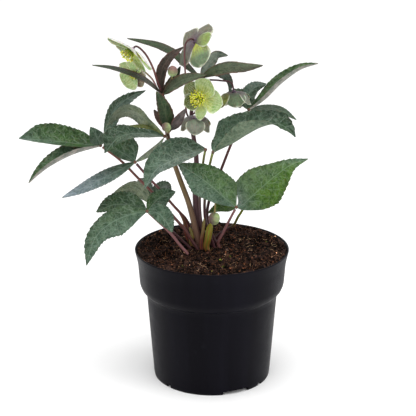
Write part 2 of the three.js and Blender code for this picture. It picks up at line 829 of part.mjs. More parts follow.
// The soil fills the pot, 0.3 mm clear of the wall. It is heaped: its crumbed top stands a little above the
// rim and falls off steeply at the wall.
const CRUMB = 1.2;
const HEAP_EDGE = 12; // how late the heap falls off: the power of the share of the radius
const RING_CROWDING = 1.35; // how much closer the rings lie at the wall
function soil() {
  const [sectors, rings] = [24, 7];
  const random = randomFrom(7);
  const edge = POT_HEIGHT - SOIL_BELOW_RIM;
  const reachAt = (z) => insideRadius(z) - 2 * GAP;
  const lining = [edge - 2, 149, 124, 112, PLATE + GAP].map((z) => [reachAt(z), z]);
  const below = [...lining, [CHANNEL.inner, PLATE + GAP], [CHANNEL.inner - 2, POT_FLOOR + GAP]];
  const points = [new THREE.Vector3(0, 0, edge + SOIL_MOUND), new THREE.Vector3(0, 0, POT_FLOOR + GAP)];
  const reach = reachAt(edge);
  for (let i = 1; i <= rings; i++) {
    const share = 1 - (1 - i / rings) ** RING_CROWDING;
    for (let k = 0; k < sectors; k++) {
      const turn = (2 * Math.PI * (k + 0.5 * (i % 2))) / sectors;
      const rise = edge + SOIL_MOUND * (1 - share ** HEAP_EDGE) + CRUMB * (2 * random() - 1) * (i < rings);
      points.push(new THREE.Vector3(reach * share * Math.cos(turn), reach * share * Math.sin(turn), rise));
    }
  }
  for (const [r, z] of below) {
    for (let k = 0; k < sectors; k++) {
      const turn = (2 * Math.PI * (k + 0.5 * (rings % 2))) / sectors;
      points.push(new THREE.Vector3(r * Math.cos(turn), r * Math.sin(turn), z));
    }
  }
  const levels = rings + below.length;
  const at = (level, k) => 2 + (level - 1) * sectors + (k % sectors);
  const triangles = [];
  for (let k = 0; k < sectors; k++) {
    triangles.push([0, at(1, k), at(1, k + 1)], [1, at(levels, k + 1), at(levels, k)]);
    for (let level = 1; level < levels; level++) {
      const [a, b, c, d] = [at(level, k), at(level, k + 1), at(level + 1, k), at(level + 1, k + 1)];
      const odd = level < rings && level % 2;
      triangles.push(...(odd ? [[a, c, b], [b, c, d]] : [[a, c, d], [a, d, b]]));
    }
  }
  return closedMesh(points, triangles);
}

// ---- The plant in its pot -------------------------------------------------------------------------
const COLOURS = {
  pot: [0x1d1f23, 0.45],
  soil: [0x2e1f18, 0.95],
  leaf: [0x3b5a3a, 0.55],
  bract: [0x4c4a38, 0.6],
  stalk: [0x6b3a36, 0.55],
  stem: [0x5d5733, 0.55],
  sheath: [0x8f9a3c, 0.5],
  sepal: [0xa9c07a, 0.6],
  stamen: [0xd9cf3a, 0.6],
  bud: [0x9fae72, 0.5],
};
const plant = new THREE.Group();

function add(name, body, colour) {
  const mesh = body.getMesh();
  const geometry = new THREE.BufferGeometry();
  geometry.setAttribute("position", new THREE.BufferAttribute(mesh.vertProperties, 3));
  geometry.setIndex(new THREE.BufferAttribute(mesh.triVerts, 1));
  const [color, roughness] = COLOURS[colour];
  const piece = new THREE.Mesh(geometry, new THREE.MeshStandardMaterial({ color, roughness, metalness: 0 }));
  piece.name = name;
  plant.add(piece);
}

add("pot", pot(), "pot");
let ground = soil();
for (const stalk of Object.values(STALKS)) {
  ground = ground.subtract(stem(stalkPath(stalk), taper(stalk.r.map((r) => r + GAP)), 6, STALK_STEPS));
}
for (const sheath of Object.values(SHEATHS)) {
  ground = ground.subtract(stem(stalkPath(sheath), sheathRadius(sheath.r, GAP), 6, STALK_STEPS));
}
add("soil", ground, "soil");

const colourOf = (name) => name.split("_")[0].replace("pedicel", "stalk");
for (const [name, stalk] of Object.entries({ ...STALKS, ...SIDE_STALKS })) {
  const steps = name in STALKS ? STALK_STEPS : SIDE_STALK_STEPS;
  add(name, stem(stalkPath(stalk), taper(stalk.r), 6, steps), colourOf(name));
}
for (const [name, sheath] of Object.entries(SHEATHS)) {
  add(name, stem(stalkPath(sheath), sheathRadius(sheath.r), 6, STALK_STEPS), "sheath");
}
for (const [name, [junction, leaflets]] of Object.entries(LEAVES)) {
  add(name, leaf(junction, leaflets), name.startsWith("bracts") ? "bract" : "leaf");
}
for (const [name, flower] of Object.entries(FLOWERS)) {
  add(name + "_sepals", sepals(flower), "sepal");
  add(name + "_stamens", stamens(flower), "stamen");
}
for (const [name, { at, radius, axis, run, start }] of Object.entries(BUDS)) {
  const stalk = stem(stalkPath({ run, start }), taper(BUD_STALK), 6, SIDE_STALK_STEPS);
  add(name, stalk.add(bud(seen(at), radius, new THREE.Vector3(...axis))), "bud");
}

export default plant;
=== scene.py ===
import bmesh
import bpy
import numpy as np
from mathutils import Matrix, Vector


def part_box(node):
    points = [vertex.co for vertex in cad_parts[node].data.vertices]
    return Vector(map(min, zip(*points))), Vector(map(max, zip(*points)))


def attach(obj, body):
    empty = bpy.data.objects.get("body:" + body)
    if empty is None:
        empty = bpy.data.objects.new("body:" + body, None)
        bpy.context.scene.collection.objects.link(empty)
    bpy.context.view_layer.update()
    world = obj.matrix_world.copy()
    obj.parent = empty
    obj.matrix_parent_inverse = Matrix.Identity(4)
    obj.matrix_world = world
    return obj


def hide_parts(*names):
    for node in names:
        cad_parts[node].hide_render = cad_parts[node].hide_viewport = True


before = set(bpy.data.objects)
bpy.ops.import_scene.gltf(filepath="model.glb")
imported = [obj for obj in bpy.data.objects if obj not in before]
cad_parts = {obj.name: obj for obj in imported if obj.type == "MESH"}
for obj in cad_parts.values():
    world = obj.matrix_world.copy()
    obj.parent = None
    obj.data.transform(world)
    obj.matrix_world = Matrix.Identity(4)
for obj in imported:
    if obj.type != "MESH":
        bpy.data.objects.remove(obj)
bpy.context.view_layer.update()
MM = 0.001

# ---- Pot ------------------------------------------------------------------------------------------
# A round nursery pot, moulded in black polypropylene: a tapered body under a deep, wider collar with a
# rolled rim. It stands on a narrow foot that is cut by drain notches, and its base has three drain holes.
POT_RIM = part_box("pot")[1][0] / MM  # outer radius at the rim
POT_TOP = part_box("pot")[1][2] / MM
POT_FOOT = 72.5
PLATE_UNDER, PLATE_TOP, DISC_TOP = 5.0, 7.0, 2.0  # heights of the base's raised ring and flat disc
DISC = 46.0
DRAIN_IN, DRAIN_OUT = 56.5, 63.5  # the radii between which the drain holes are cut
NOTCH_IN = 69.6  # the notches cut the foot outside this radius
# Profile corners as (radius, height, how far the rounding starts from the corner).
POT_UNDER = [(0, 0, 0), (DISC, 0, 1), (47.5, PLATE_UNDER, 1), (DRAIN_IN, PLATE_UNDER, 0),
             (DRAIN_OUT, PLATE_UNDER, 0), (69.5, PLATE_UNDER, 0.6), (70.6, 0, 0.3)]
POT_WALL = [(POT_FOOT, 0, 0.5), (73.2, 4, 1.2), (80.9, 106, 1.2), (82, 111.5, 1.4), (86.8, 115.6, 2.2),
            (89.4, 122, 3), (91.4, 149, 6), (94, 161, 1.6), (POT_RIM, 165.2, 0.5),
            (POT_RIM - 0.4, POT_TOP, 0.3)]
POT_INSIDE = [(93.6, POT_TOP, 0.3), (89.8, 149, 5), (87.6, 124, 4), (79.6, 112, 4), (71.8, PLATE_TOP, 1.5),
              (DRAIN_OUT, PLATE_TOP, 0), (DRAIN_IN, PLATE_TOP, 0), (DISC, PLATE_TOP, 1),
              (DISC - 1.5, DISC_TOP, 0.8), (0, DISC_TOP, 0)]
WIDE_NOTCHES = [(turn, 13.2, 4.4) for turn in (24, 144, 264)]  # degrees from the front, half width, height
NARROW_NOTCHES = [(turn, 2.4, 3.4) for turn in (54, -47, 114, 174, -126)]
DRAIN_HALF_TURN = 7.5
RIM_SIDES = 216
SEAM = 1e-8  # metres between points that count as one


def linear(red, green, blue):
    """A colour given in everyday 0 to 255 steps, as the linear light that the shaders work in."""
    share = np.array([red, green, blue]) / 255
    light = np.where(share <= 0.04045, share / 12.92, ((share + 0.055) / 1.055) ** 2.4)
    return (*light.tolist(), 1.0)


def rounded(corners, steps=5):
    """The profile through the corners, each rounded by the parabola that touches both of its sides."""
    points = []
    for k, (r, z, reach) in enumerate(corners):
        here = np.array([r, z], float)
        if reach == 0 or k in (0, len(corners) - 1):
            points.append(here[None])
            continue
        before, after = (np.array(corners[j][:2], float) - here for j in (k - 1, k + 1))
        start = here + before * min(reach / np.linalg.norm(before), 0.5)
        end = here + after * min(reach / np.linalg.norm(after), 0.5)
        t = np.linspace(0, 1, steps)[:, None]
        points.append((1 - t) ** 2 * start + 2 * t * (1 - t) * here + t**2 * end)
    return np.concatenate(points)


def grid_faces(rows, columns, closed=False):
    """Four-cornered faces between neighbouring rows and columns; `closed` joins the last column to the
    first."""
    i, j = np.meshgrid(np.arange(rows - 1), np.arange(columns if closed else columns - 1), indexing="ij")
    k = (j + 1) % columns
    corners = [i * columns + j, i * columns + k, (i + 1) * columns + k, (i + 1) * columns + j]
    return np.stack(corners, -1).reshape(-1, 4)


def close_poles(mesh):
    """Merges the points that lie on one another, where a grid's row has shrunk to a pole."""
    form = bmesh.new()
    form.from_mesh(mesh)
    bmesh.ops.remove_doubles(form, verts=form.verts, dist=SEAM)
    form.to_mesh(mesh)
    form.free()


def make_piece(name, points, faces, finishes, replaced=(), uv=None, tone=None, finish_of=None):
    """A smooth piece from points in millimetres and lists of corners. `finish_of` numbers each face's finish;
    `uv` and `tone` are given for each point."""
    mesh = bpy.data.meshes.new(name)
    corner_lists = faces.tolist() if isinstance(faces, np.ndarray) else faces
    mesh.from_pydata((np.asarray(points, float) * MM).tolist(), [], corner_lists)
    if uv is not None:
        corners = np.empty(len(mesh.loops), int)
        mesh.loops.foreach_get("vertex_index", corners)
        mesh.uv_layers.new(name="UVMap").data.foreach_set("uv", np.asarray(uv, np.float32)[corners].ravel())
    if tone is not None:
        colour = np.ones((len(points), 4), np.float32)
        colour[:, :3] = tone
        mesh.color_attributes.new("tone", "FLOAT_COLOR", "POINT").data.foreach_set("color", colour.ravel())
    for finish in finishes:
        mesh.materials.append(finish)
    if finish_of is not None:
        mesh.polygons.foreach_set("material_index", np.asarray(finish_of, np.int32))
    mesh.polygons.foreach_set("use_smooth", np.ones(len(mesh.polygons), bool))
    close_poles(mesh)
    piece = bpy.data.objects.new(name, mesh)
    bpy.context.scene.collection.objects.link(piece)
    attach(piece, "root")
    if replaced:
        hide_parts(*replaced)
    return piece


class Finish:
    """A node material: `bsdf` is its surface shader, and each method adds a node and returns its output."""

    def __init__(self, name, roughness, **settings):
        self.material = bpy.data.materials.new(name)
        self.material.use_nodes = True
        self.tree = self.material.node_tree
        self.bsdf = self.tree.nodes["Principled BSDF"]
        self.bsdf.inputs["Roughness"].default_value = roughness
        for socket, value in settings.items():
            self.bsdf.inputs[socket.replace("_", " ")].default_value = value

    def node(self, kind, output, inputs, **settings):
        made = self.tree.nodes.new("ShaderNode" + kind)
        for key, value in settings.items():
            setattr(made, key, value)
        for socket, value in inputs.items():
            if hasattr(value, "links"):
                self.tree.links.new(value, made.inputs[socket])
            elif value is not None:
                made.inputs[socket].default_value = value
        return made.outputs[output]

    def place(self, scale=(1, 1, 1)):
        """Object coordinates in metres, stretched by `scale`."""
        where = self.node("TexCoord", "Object", {})
        return self.node("Mapping", "Vector", {"Vector": where, "Scale": scale})

    def noise(self, where, scale, detail=4.0, roughness=0.55):
        return self.node("TexNoise", "Fac", {"Vector": where, "Scale": scale, "Detail": detail,
                                             "Roughness": roughness})

    def maths(self, operation, a, b=0.0):
        return self.node("Math", "Value", {0: a, 1: b}, operation=operation)

    def band(self, value, low, high, bottom=0.0, top=1.0):
        """A smooth step: `bottom` below low and `top` above high."""
        return self.node("MapRange", "Result", {"Value": value, "From Min": low, "From Max": high,
                                                "To Min": bottom, "To Max": top},
                         interpolation_type="SMOOTHSTEP")

    def mix(self, share, a, b, blend="MIX"):
        return self.node("Mix", 2, {0: share, 6: a, 7: b}, data_type="RGBA", blend_type=blend)

    def tinted(self, tone, factor):
        """A tone multiplied by another one."""
        return self.mix(1.0, tone, factor, "MULTIPLY")

    def uv_place(self):
        return self.node("UVMap", "UV", {})

    def own_tone(self):
        """The tone that the mesh holds at each of its points."""
        return self.node("VertexColor", "Color", {}, layer_name="tone")

    def cell_border(self, where, scale):
        """How far a place lies from the border of its Voronoi cell."""
        return self.node("TexVoronoi", "Distance", {"Vector": where, "Scale": scale},
                         feature="DISTANCE_TO_EDGE")

    def colour(self, value):
        self.tree.links.new(value, self.bsdf.inputs["Base Color"])

    def rough(self, value):
        self.tree.links.new(value, self.bsdf.inputs["Roughness"])

    def bump(self, height, distance, strength=1.0):
        normal = self.node("Bump", "Normal", {"Height": height, "Distance": distance, "Strength": strength})
        self.tree.links.new(normal, self.bsdf.inputs["Normal"])


def pot_plastic():
    """Black polypropylene: satin, faintly blue, with soft flow streaks up the wall and a fine grain."""
    finish = Finish("black polypropylene", 0.42, Specular_IOR_Level=0.06)
    streaks = finish.noise(finish.place((30, 30, 2)), 1.0, 3)
    scuffs = finish.noise(finish.place(), 55, 6, 0.7)
    tone = finish.mix(finish.band(streaks, 0.35, 0.7), linear(6, 5, 11), linear(13, 12, 20))
    finish.colour(finish.mix(finish.band(scuffs, 0.6, 0.78, 0, 0.25), tone, linear(36, 36, 42)))
    finish.rough(finish.band(finish.maths("ADD", streaks, scuffs), 0.7, 1.3, 0.34, 0.48))
    finish.bump(finish.noise(finish.place(), 900, 3), 0.00012)
    return finish.material


def pot_shell():
    """The profile turned round the axis. At a notch, the foot's points rise to the notch's height."""
    profile = np.concatenate([rounded(POT_UNDER), rounded(POT_WALL), rounded(POT_INSIDE)])
    notches = WIDE_NOTCHES + NARROW_NOTCHES
    edges = [turn + side * (half + nudge) for turn, half, _ in notches
             for side in (-1, 1) for nudge in (0, 0.02)]
    drains = [turn + side * DRAIN_HALF_TURN for turn, _, _ in WIDE_NOTCHES for side in (-1, 1)]
    even = np.arange(RIM_SIDES) * 360 / RIM_SIDES
    turns = np.unique(np.round(np.concatenate([even, np.array(edges + drains)]) % 360, 4))
    away = np.abs((turns[:, None] - np.array([n[0] for n in notches]) + 180) % 360 - 180)
    height = np.where(away <= np.array([n[1] for n in notches]) + 0.01, [n[2] for n in notches], 0).max(1)
    angle = np.radians(turns - 90)
    r, z = profile[:, :1], profile[:, 1:]
    lifted = np.where((r > NOTCH_IN) & (z < height), height, z)
    points = np.stack([r * np.cos(angle), r * np.sin(angle), lifted], -1)
    faces = grid_faces(len(profile), len(angle), closed=True)
    return points.reshape(-1, 3), faces, profile, turns


def opened(faces, profile, turns):
    """The shell's faces with a drain hole cut through the raised ring at each wide notch, and the holes'
    sides."""
    columns = len(turns)
    hole = [(DRAIN_IN, PLATE_UNDER), (DRAIN_OUT, PLATE_UNDER), (DRAIN_OUT, PLATE_TOP), (DRAIN_IN, PLATE_TOP)]
    on_ring = [np.flatnonzero((profile[:, 0] == r) & (profile[:, 1] == z))[0] for r, z in hole]
    row, column = faces[:, 0] // columns, faces[:, 0] % columns
    inner_row = (row == on_ring[0]) | (row == on_ring[2])
    sides = []
    gone = np.zeros(len(faces), bool)
    for turn, _, _ in WIDE_NOTCHES:
        first, last = (np.argmin(np.abs(turns - (turn + s * DRAIN_HALF_TURN) % 360)) for s in (-1, 1))
        span = np.arange(first, last)
        gone |= inner_row & np.isin(column, span)
        at = lambda level, k: on_ring[level] * columns + k
        sides += [[at(0, k), at(3, k), at(3, k + 1), at(0, k + 1)] for k in span]
        sides += [[at(1, k), at(1, k + 1), at(2, k + 1), at(2, k)] for k in span]
        sides += [[at(0, first), at(1, first), at(2, first), at(3, first)]]
        sides += [[at(0, last), at(3, last), at(2, last), at(1, last)]]
    return np.concatenate([faces[~gone], np.array(sides)])


points, faces, profile, turns = pot_shell()
make_piece("pot_shell", points, opened(faces, profile, turns)[:, ::-1], [pot_plastic()], ["pot"])

# ---- Soil -----------------------------------------------------------------------------------------
# Moist potting mix of peat and coir: a mounded, crumbly top that reaches almost to the rim, filled down
# to the base, with loose crumbs, tan coir fibres and a few pale grains of grit lying on it.
SOIL_EDGE = POT_TOP - 2.5  # at the wall
SOIL_MOUND = 4.5  # how far it is heaped above its edge
HEAP_EDGE = 12  # how late the heap falls off: the power of the share of the radius
SOIL_LUMPS = [(1.5, 17), (2.0, 8), (1.6, 4.2), (0.9, 1.9)]  # the heights and lengths of its roughness
SOIL_SIDES, SOIL_RINGS = 350, 128
# Heights and radii down the pot's lining to the bottom of the fill.
SOIL_LINING = [(161.5, 92.0), (149, 89.2), (124, 87.0), (112, 79.0), (7.3, 71.2), (7.3, 46), (2.3, 44),
               (2.3, 0)]
SOIL_REACH = SOIL_LINING[0][1]
CRUMBS, CRUMB_RINGS, CRUMB_SIDES = 2100, 5, 6
GRITS, SPROUTS = 30, 12  # how many of the crumbs are pale grit, and how many are green
CRUMB_TONES = [(1.0, 1.0, 1.0), (0.5, 0.5, 0.5), (1.9, 1.6, 1.4), (3.4, 2.7, 2.2)]  # as factors on the mix
CRUMB_SHARES = [0.38, 0.34, 0.2, 0.08]
GRIT_TONE, SPROUT_TONE = (14.0, 16.0, 16.0), (2.4, 5.4, 1.4)
FIBRES, FIBRE_STEPS, FIBRE_SIDES = 640, 9, 3
FIBRE_REACH = 90.5  # no strand runs further from the axis
FIBRE_TONES = [(150, 98, 62), (226, 190, 148), (74, 46, 34), (104, 66, 46)]
FIBRE_SHARES = [0.24, 0.14, 0.34, 0.28]
chance = np.random.default_rng(5)


def lumps(x, y, size, seed):
    """Smooth noise from -1 to 1: random heights on a square lattice `size` apart, eased between its
    corners."""
    table = np.random.default_rng(seed).uniform(-1, 1, (64, 64))
    column, row = np.floor(x / size).astype(int), np.floor(y / size).astype(int)
    fx, fy = x / size - column, y / size - row
    fx, fy = fx * fx * (3 - 2 * fx), fy * fy * (3 - 2 * fy)
    at = lambda i, j: table[(column + i) % 64, (row + j) % 64]
    return (at(0, 0) * (1 - fx) + at(1, 0) * fx) * (1 - fy) + (at(0, 1) * (1 - fx) + at(1, 1) * fx) * fy


def round_turns(sides):
    """Angles at even steps once round, in radians."""
    return np.linspace(0, 2 * np.pi, sides, endpoint=False)


def unit(vectors, axis=-1):
    """Vectors divided by their lengths."""
    return vectors / np.linalg.norm(vectors, axis=axis, keepdims=True)


def light_of(*tones):
    """Everyday colours as rows of linear red, green and blue."""
    return np.array([linear(*tone)[:3] for tone in tones])


def ball_grid(rings, sides, pole=0.0):
    """A unit sphere's points, ring by ring from its top, with each ring's angle from the top and each point's
    angle round it."""
    down, around = np.meshgrid(np.linspace(pole, np.pi - pole, rings), round_turns(sides), indexing="ij")
    ball = np.stack([np.sin(down) * np.cos(around), np.sin(down) * np.sin(around), np.cos(down)], -1)
    return ball.reshape(-1, 3), down, around


def soil_height(x, y):
    """A heap that falls off with a high power of the distance, roughened by lumps from 17 mm down to 1.9 mm
    that flatten towards the wall."""
    share = np.hypot(x, y) / SOIL_REACH
    rough = sum(high * lumps(x, y, size, k) for k, (high, size) in enumerate(SOIL_LUMPS))
    return SOIL_EDGE + 0.8 + SOIL_MOUND * (1 - share**HEAP_EDGE) + rough * np.clip((1 - share) * 12, 0.3, 1)


def soil_body():
    """The top as rings of a polar grid at the soil's height, then rings down the lining to the base."""
    share = 1 - (1 - np.linspace(0, 1, SOIL_RINGS)[:, None]) ** 1.2
    angle = round_turns(SOIL_SIDES)
    x, y = share * SOIL_REACH * np.cos(angle), share * SOIL_REACH * np.sin(angle)
    top = np.stack([x, y, soil_height(x, y)], -1)
    below = [np.stack([r * np.cos(angle), r * np.sin(angle), np.full(SOIL_SIDES, z)], -1)
             for z, r in SOIL_LINING]
    points = np.concatenate([top, np.stack(below)])
    return points.reshape(-1, 3), grid_faces(len(points), SOIL_SIDES, closed=True)


def soil_mix():
    """Dark brown to nearly black crumb in cells of 2.5 and 7 mm, each in its own tone, with redder flecks."""
    finish = Finish("potting mix", 0.92, Specular_IOR_Level=0.08)
    where = finish.place()
    cell = lambda scale: finish.node("TexVoronoi", "Color", {"Vector": where, "Scale": scale})
    fine, coarse = (finish.node("SeparateColor", "Red", {"Color": cell(scale)}) for scale in (400.0, 140.0))
    grain = finish.maths("ADD", finish.maths("MULTIPLY", fine, 0.6), finish.maths("MULTIPLY", coarse, 0.4))
    clod = finish.noise(where, 110, 5, 0.7)
    tone = finish.mix(finish.band(grain, 0.15, 0.95), linear(7, 4, 3), linear(60, 43, 38))
    tone = finish.mix(finish.band(clod, 0.43, 0.6), tone, linear(9, 5, 4))
    fleck = finish.band(finish.noise(where, 520, 2), 0.6, 0.66, 0, 0.7)
    finish.colour(finish.tinted(finish.mix(fleck, tone, linear(132, 92, 68)), finish.own_tone()))
    finish.bump(finish.maths("ADD", clod, finish.maths("MULTIPLY", grain, 0.5)), 0.0016)
    return finish.material


def coir_fibre():
    """Dry coconut fibre in its own tones, rubbed darker in places."""
    finish = Finish("coir", 0.8, Specular_IOR_Level=0.15)
    own = finish.own_tone()
    rub = finish.band(finish.noise(finish.place(), 300, 4, 0.6), 0.35, 0.65)
    finish.colour(finish.mix(rub, finish.tinted(own, (0.45, 0.38, 0.32, 1)), own))
    finish.bump(rub, 0.0002)
    return finish.material


def turned(count):
    """One random rotation matrix for each of `count` things, from a random unit quaternion."""
    a, b, c, d = unit(chance.normal(size=(4, count)), 0)
    rows = [[1 - 2 * (c * c + d * d), 2 * (b * c - a * d), 2 * (b * d + a * c)],
            [2 * (b * c + a * d), 1 - 2 * (b * b + d * d), 2 * (c * d - a * b)],
            [2 * (b * d - a * c), 2 * (c * d + a * b), 1 - 2 * (b * b + c * c)]]
    return np.moveaxis(np.array(rows), 2, 0)


def on_soil(count, inner=0.0, outer=0.965):
    """Random places spread evenly over the soil, as x, y and the height of its surface there."""
    radius = SOIL_REACH * np.sqrt(chance.uniform(inner**2, outer**2, count))
    angle = chance.uniform(0, 2 * np.pi, count)
    x, y = radius * np.cos(angle), radius * np.sin(angle)
    return np.stack([x, y, soil_height(x, y)], -1)


def many(faces, placed):
    """Copies of one small mesh: `placed` holds each copy's points, and the faces count on from copy to
    copy."""
    step = np.arange(len(placed))[:, None, None] * placed.shape[1]
    return placed.reshape(-1, 3), (faces[None] + step).reshape(-1, faces.shape[1])


def crumbs():
    """Small spheres, each pressed and dented at random and sunk by a third into the surface."""
    ball = ball_grid(CRUMB_RINGS, CRUMB_SIDES, 0.02)[0]
    size = chance.uniform(0.45, 1.0, (CRUMBS, 1, 3)) * chance.gamma(2.6, 0.55, (CRUMBS, 1, 1)).clip(0.4, 3.4)
    dents = chance.uniform(0.7, 1.15, (CRUMBS, len(ball), 1))
    dents[:, :CRUMB_SIDES] = dents[:, :1]
    dents[:, -CRUMB_SIDES:] = dents[:, -1:]
    shaped = np.einsum("nij,nkj->nki", turned(CRUMBS), ball * size * dents)
    lift = 0.25 * size.mean(-1, keepdims=True)
    placed = shaped + on_soil(CRUMBS)[:, None] + lift * np.array([0, 0, 1])
    tone = np.array(CRUMB_TONES)[chance.choice(len(CRUMB_TONES), CRUMBS, p=CRUMB_SHARES)]
    tone[:GRITS] = GRIT_TONE
    tone[GRITS:GRITS + SPROUTS] = SPROUT_TONE
    return *many(grid_faces(CRUMB_RINGS, CRUMB_SIDES, closed=True), placed), np.repeat(tone, len(ball), 0)


def fibres():
    """Coir strands: bent three-sided threads. Each follows a parabola on the soil and lifts at its ends."""
    along = np.linspace(-0.5, 0.5, FIBRE_STEPS)
    length = chance.gamma(3.5, 2.7, FIBRES).clip(4, 24)[:, None]
    heading = chance.uniform(0, 2 * np.pi, FIBRES)[:, None]
    bend = chance.normal(0, 0.35, FIBRES)[:, None]
    start = on_soil(FIBRES, 0.1, 0.93)
    u, v = along * length, bend * length * (along**2 * 4 - 0.3)
    x = start[:, :1] + u * np.cos(heading) - v * np.sin(heading)
    y = start[:, 1:2] + u * np.sin(heading) + v * np.cos(heading)
    inside = np.minimum(1, FIBRE_REACH / np.hypot(x, y))
    x, y = x * inside, y * inside
    curl = chance.uniform(0.0, 0.9, FIBRES)[:, None] * (np.abs(along) * 2) ** 2
    middle = np.stack([x, y, soil_height(x, y) + 0.25 + curl], -1)
    flow = unit(np.gradient(middle, axis=1))
    side = unit(np.cross(flow, [0, 0, 1]))
    rise = np.cross(side, flow)
    radius = chance.uniform(0.1, 0.34, FIBRES)[:, None, None] * (1.05 - np.abs(along) * 1.7)[:, None]
    ring = [radius * (np.cos(a) * side + np.sin(a) * rise) + middle for a in (0.5, 2.6, 4.7)]
    placed = np.stack(ring, 2).reshape(FIBRES, -1, 3)
    tone = light_of(*FIBRE_TONES)[chance.choice(len(FIBRE_TONES), FIBRES, p=FIBRE_SHARES)]
    points, faces = many(grid_faces(FIBRE_STEPS, FIBRE_SIDES, closed=True), placed)
    own = FIBRE_STEPS * FIBRE_SIDES
    ends = [0, 1, 2], [own - 1, own - 2, own - 3]
    caps = np.concatenate([np.array(end) + np.arange(FIBRES)[:, None] * own for end in ends])
    return points, faces.tolist() + caps.tolist(), np.repeat(tone, own, 0)


soil_finish = soil_mix()
points, faces = soil_body()
make_piece("soil_fill", points, faces, [soil_finish], ["soil"], tone=(1.0, 1.0, 1.0))
points, faces, tone = crumbs()
make_piece("soil_crumbs", points, faces, [soil_finish], tone=tone)
points, faces, tone = fibres()
make_piece("soil_fibres", points, faces, [coir_fibre()], tone=tone)

# ---- Stems and stalks -----------------------------------------------------------------------------
# Two flowering stems and the leaf stalks rise from one crown: firm, slightly ribbed and satin, dark
# red-brown to olive. Yellow-green sheaths wrap the crown, and the flowers hang on short side stalks.
EYE = np.array([-4.8, -1472.0, 708.0])  # where the camera's eye stands, in millimetres
LOOK_DOWN = np.radians(18.44)
SHEET_AWAY = 1525.0  # from the eye
GROUND = SOIL_EDGE + SOIL_MOUND  # the soil's height at the crown
ROOT_DEPTH = 9.0
STALK_SIDES, STALK_RINGS, SHORT_RINGS = 14, 72, 40
STALK_SLIM = 0.86
SHEATH_ROWS, SHEATH_COLUMNS, SHEATH_THICK = 40, 17, 0.7
SUBSURFACE = 0.002  # metres that light runs inside the green tissue


def seen(places):
    """Points of the plant, given as mm across and up on a sheet square to the eye's line of sight, and mm in
    front of the pot's axis: the ray from the eye through the sheet, met with that upright plane."""
    across, up, front = np.moveaxis(np.asarray(places, float), -1, 0)
    c, s = np.cos(LOOK_DOWN), np.sin(LOOK_DOWN)
    ray = np.stack([across, SHEET_AWAY * c + up * s, up * c - SHEET_AWAY * s], -1)
    return EYE + ray * ((-front - EYE[1]) / ray[..., 1])[..., None]


def run_along(points):
    """The distance along a path from its first point to each of its points."""
    return np.concatenate([[0], np.cumsum(np.linalg.norm(np.diff(points, axis=0), axis=1))])


def curve(places, share):
    """Centripetal Catmull-Rom curve: cubic spans whose end slopes weigh the neighbouring chords by the square
    root of their lengths. It is read at even shares of its length."""
    p = np.asarray(places, float)
    p = np.concatenate([[2 * p[0] - p[1]], p, [2 * p[-1] - p[-2]]])
    x0, x1, x2, x3 = p[:-3], p[1:-2], p[2:-1], p[3:]
    chords = ((x0, x1), (x1, x2), (x2, x3))
    d0, d1, d2 = (np.linalg.norm(b - a, axis=1, keepdims=True) ** 0.5 for a, b in chords)
    leave = ((x1 - x0) / d0 - (x2 - x0) / (d0 + d1) + (x2 - x1) / d1) * d1
    arrive = ((x2 - x1) / d1 - (x3 - x1) / (d1 + d2) + (x3 - x2) / d2) * d1
    s = np.linspace(0, 1, 24, endpoint=False)[:, None, None]
    bend, twist = 3 * (x2 - x1) - 2 * leave - arrive, 2 * (x1 - x2) + leave + arrive
    dense = x1 + leave * s + bend * s**2 + twist * s**3
    dense = np.concatenate([np.swapaxes(dense, 0, 1).reshape(-1, p.shape[1]), x2[-1:]])
    run = run_along(dense)
    wanted = np.asarray(share) * run[-1]
    return np.stack([np.interp(wanted, run, axis) for axis in dense.T], -1)


def length_of(places):
    """The length of the curve through the places, read off 200 of its points."""
    return np.linalg.norm(np.diff(curve(places, np.linspace(0, 1, 200)), axis=0), axis=1).sum()


def tube(middle, radius, sides=STALK_SIDES, rib=0.05):
    """Rings round a path: a ring's two directions are square to the path, and a cosine of the angle ribs
    it."""
    flow = unit(np.gradient(middle, axis=0))
    aside = np.eye(3)[np.argmin(np.abs(flow).max(0))]
    right = unit(np.cross(flow, aside))
    front = np.cross(flow, right)
    angle = round_turns(sides)
    reach = np.asarray(radius)[:, None] * (1 + rib * np.cos(5 * angle))
    ring = ((reach * np.cos(angle))[..., None] * right[:, None]
            + (reach * np.sin(angle))[..., None] * front[:, None])
    points = np.concatenate([(middle[:, None] + ring).reshape(-1, 3), middle[[0, -1]]])
    count = len(middle) * sides
    around = np.arange(sides)
    ahead = (around + 1) % sides
    start_cap = np.stack([np.full(sides, count), ahead, around], 1)
    end_cap = np.stack([np.full(sides, count + 1), count - sides + around, count - sides + ahead], 1)
    faces = grid_faces(len(middle), sides, closed=True).tolist() + start_cap.tolist() + end_cap.tolist()
    length = run_along(middle)
    v, u = np.meshgrid(length / 100, around / sides, indexing="ij")
    uv = np.concatenate([np.stack([u, v], -1).reshape(-1, 2), [[0, 0], [0, length[-1] / 100]]])
    return points, faces, uv


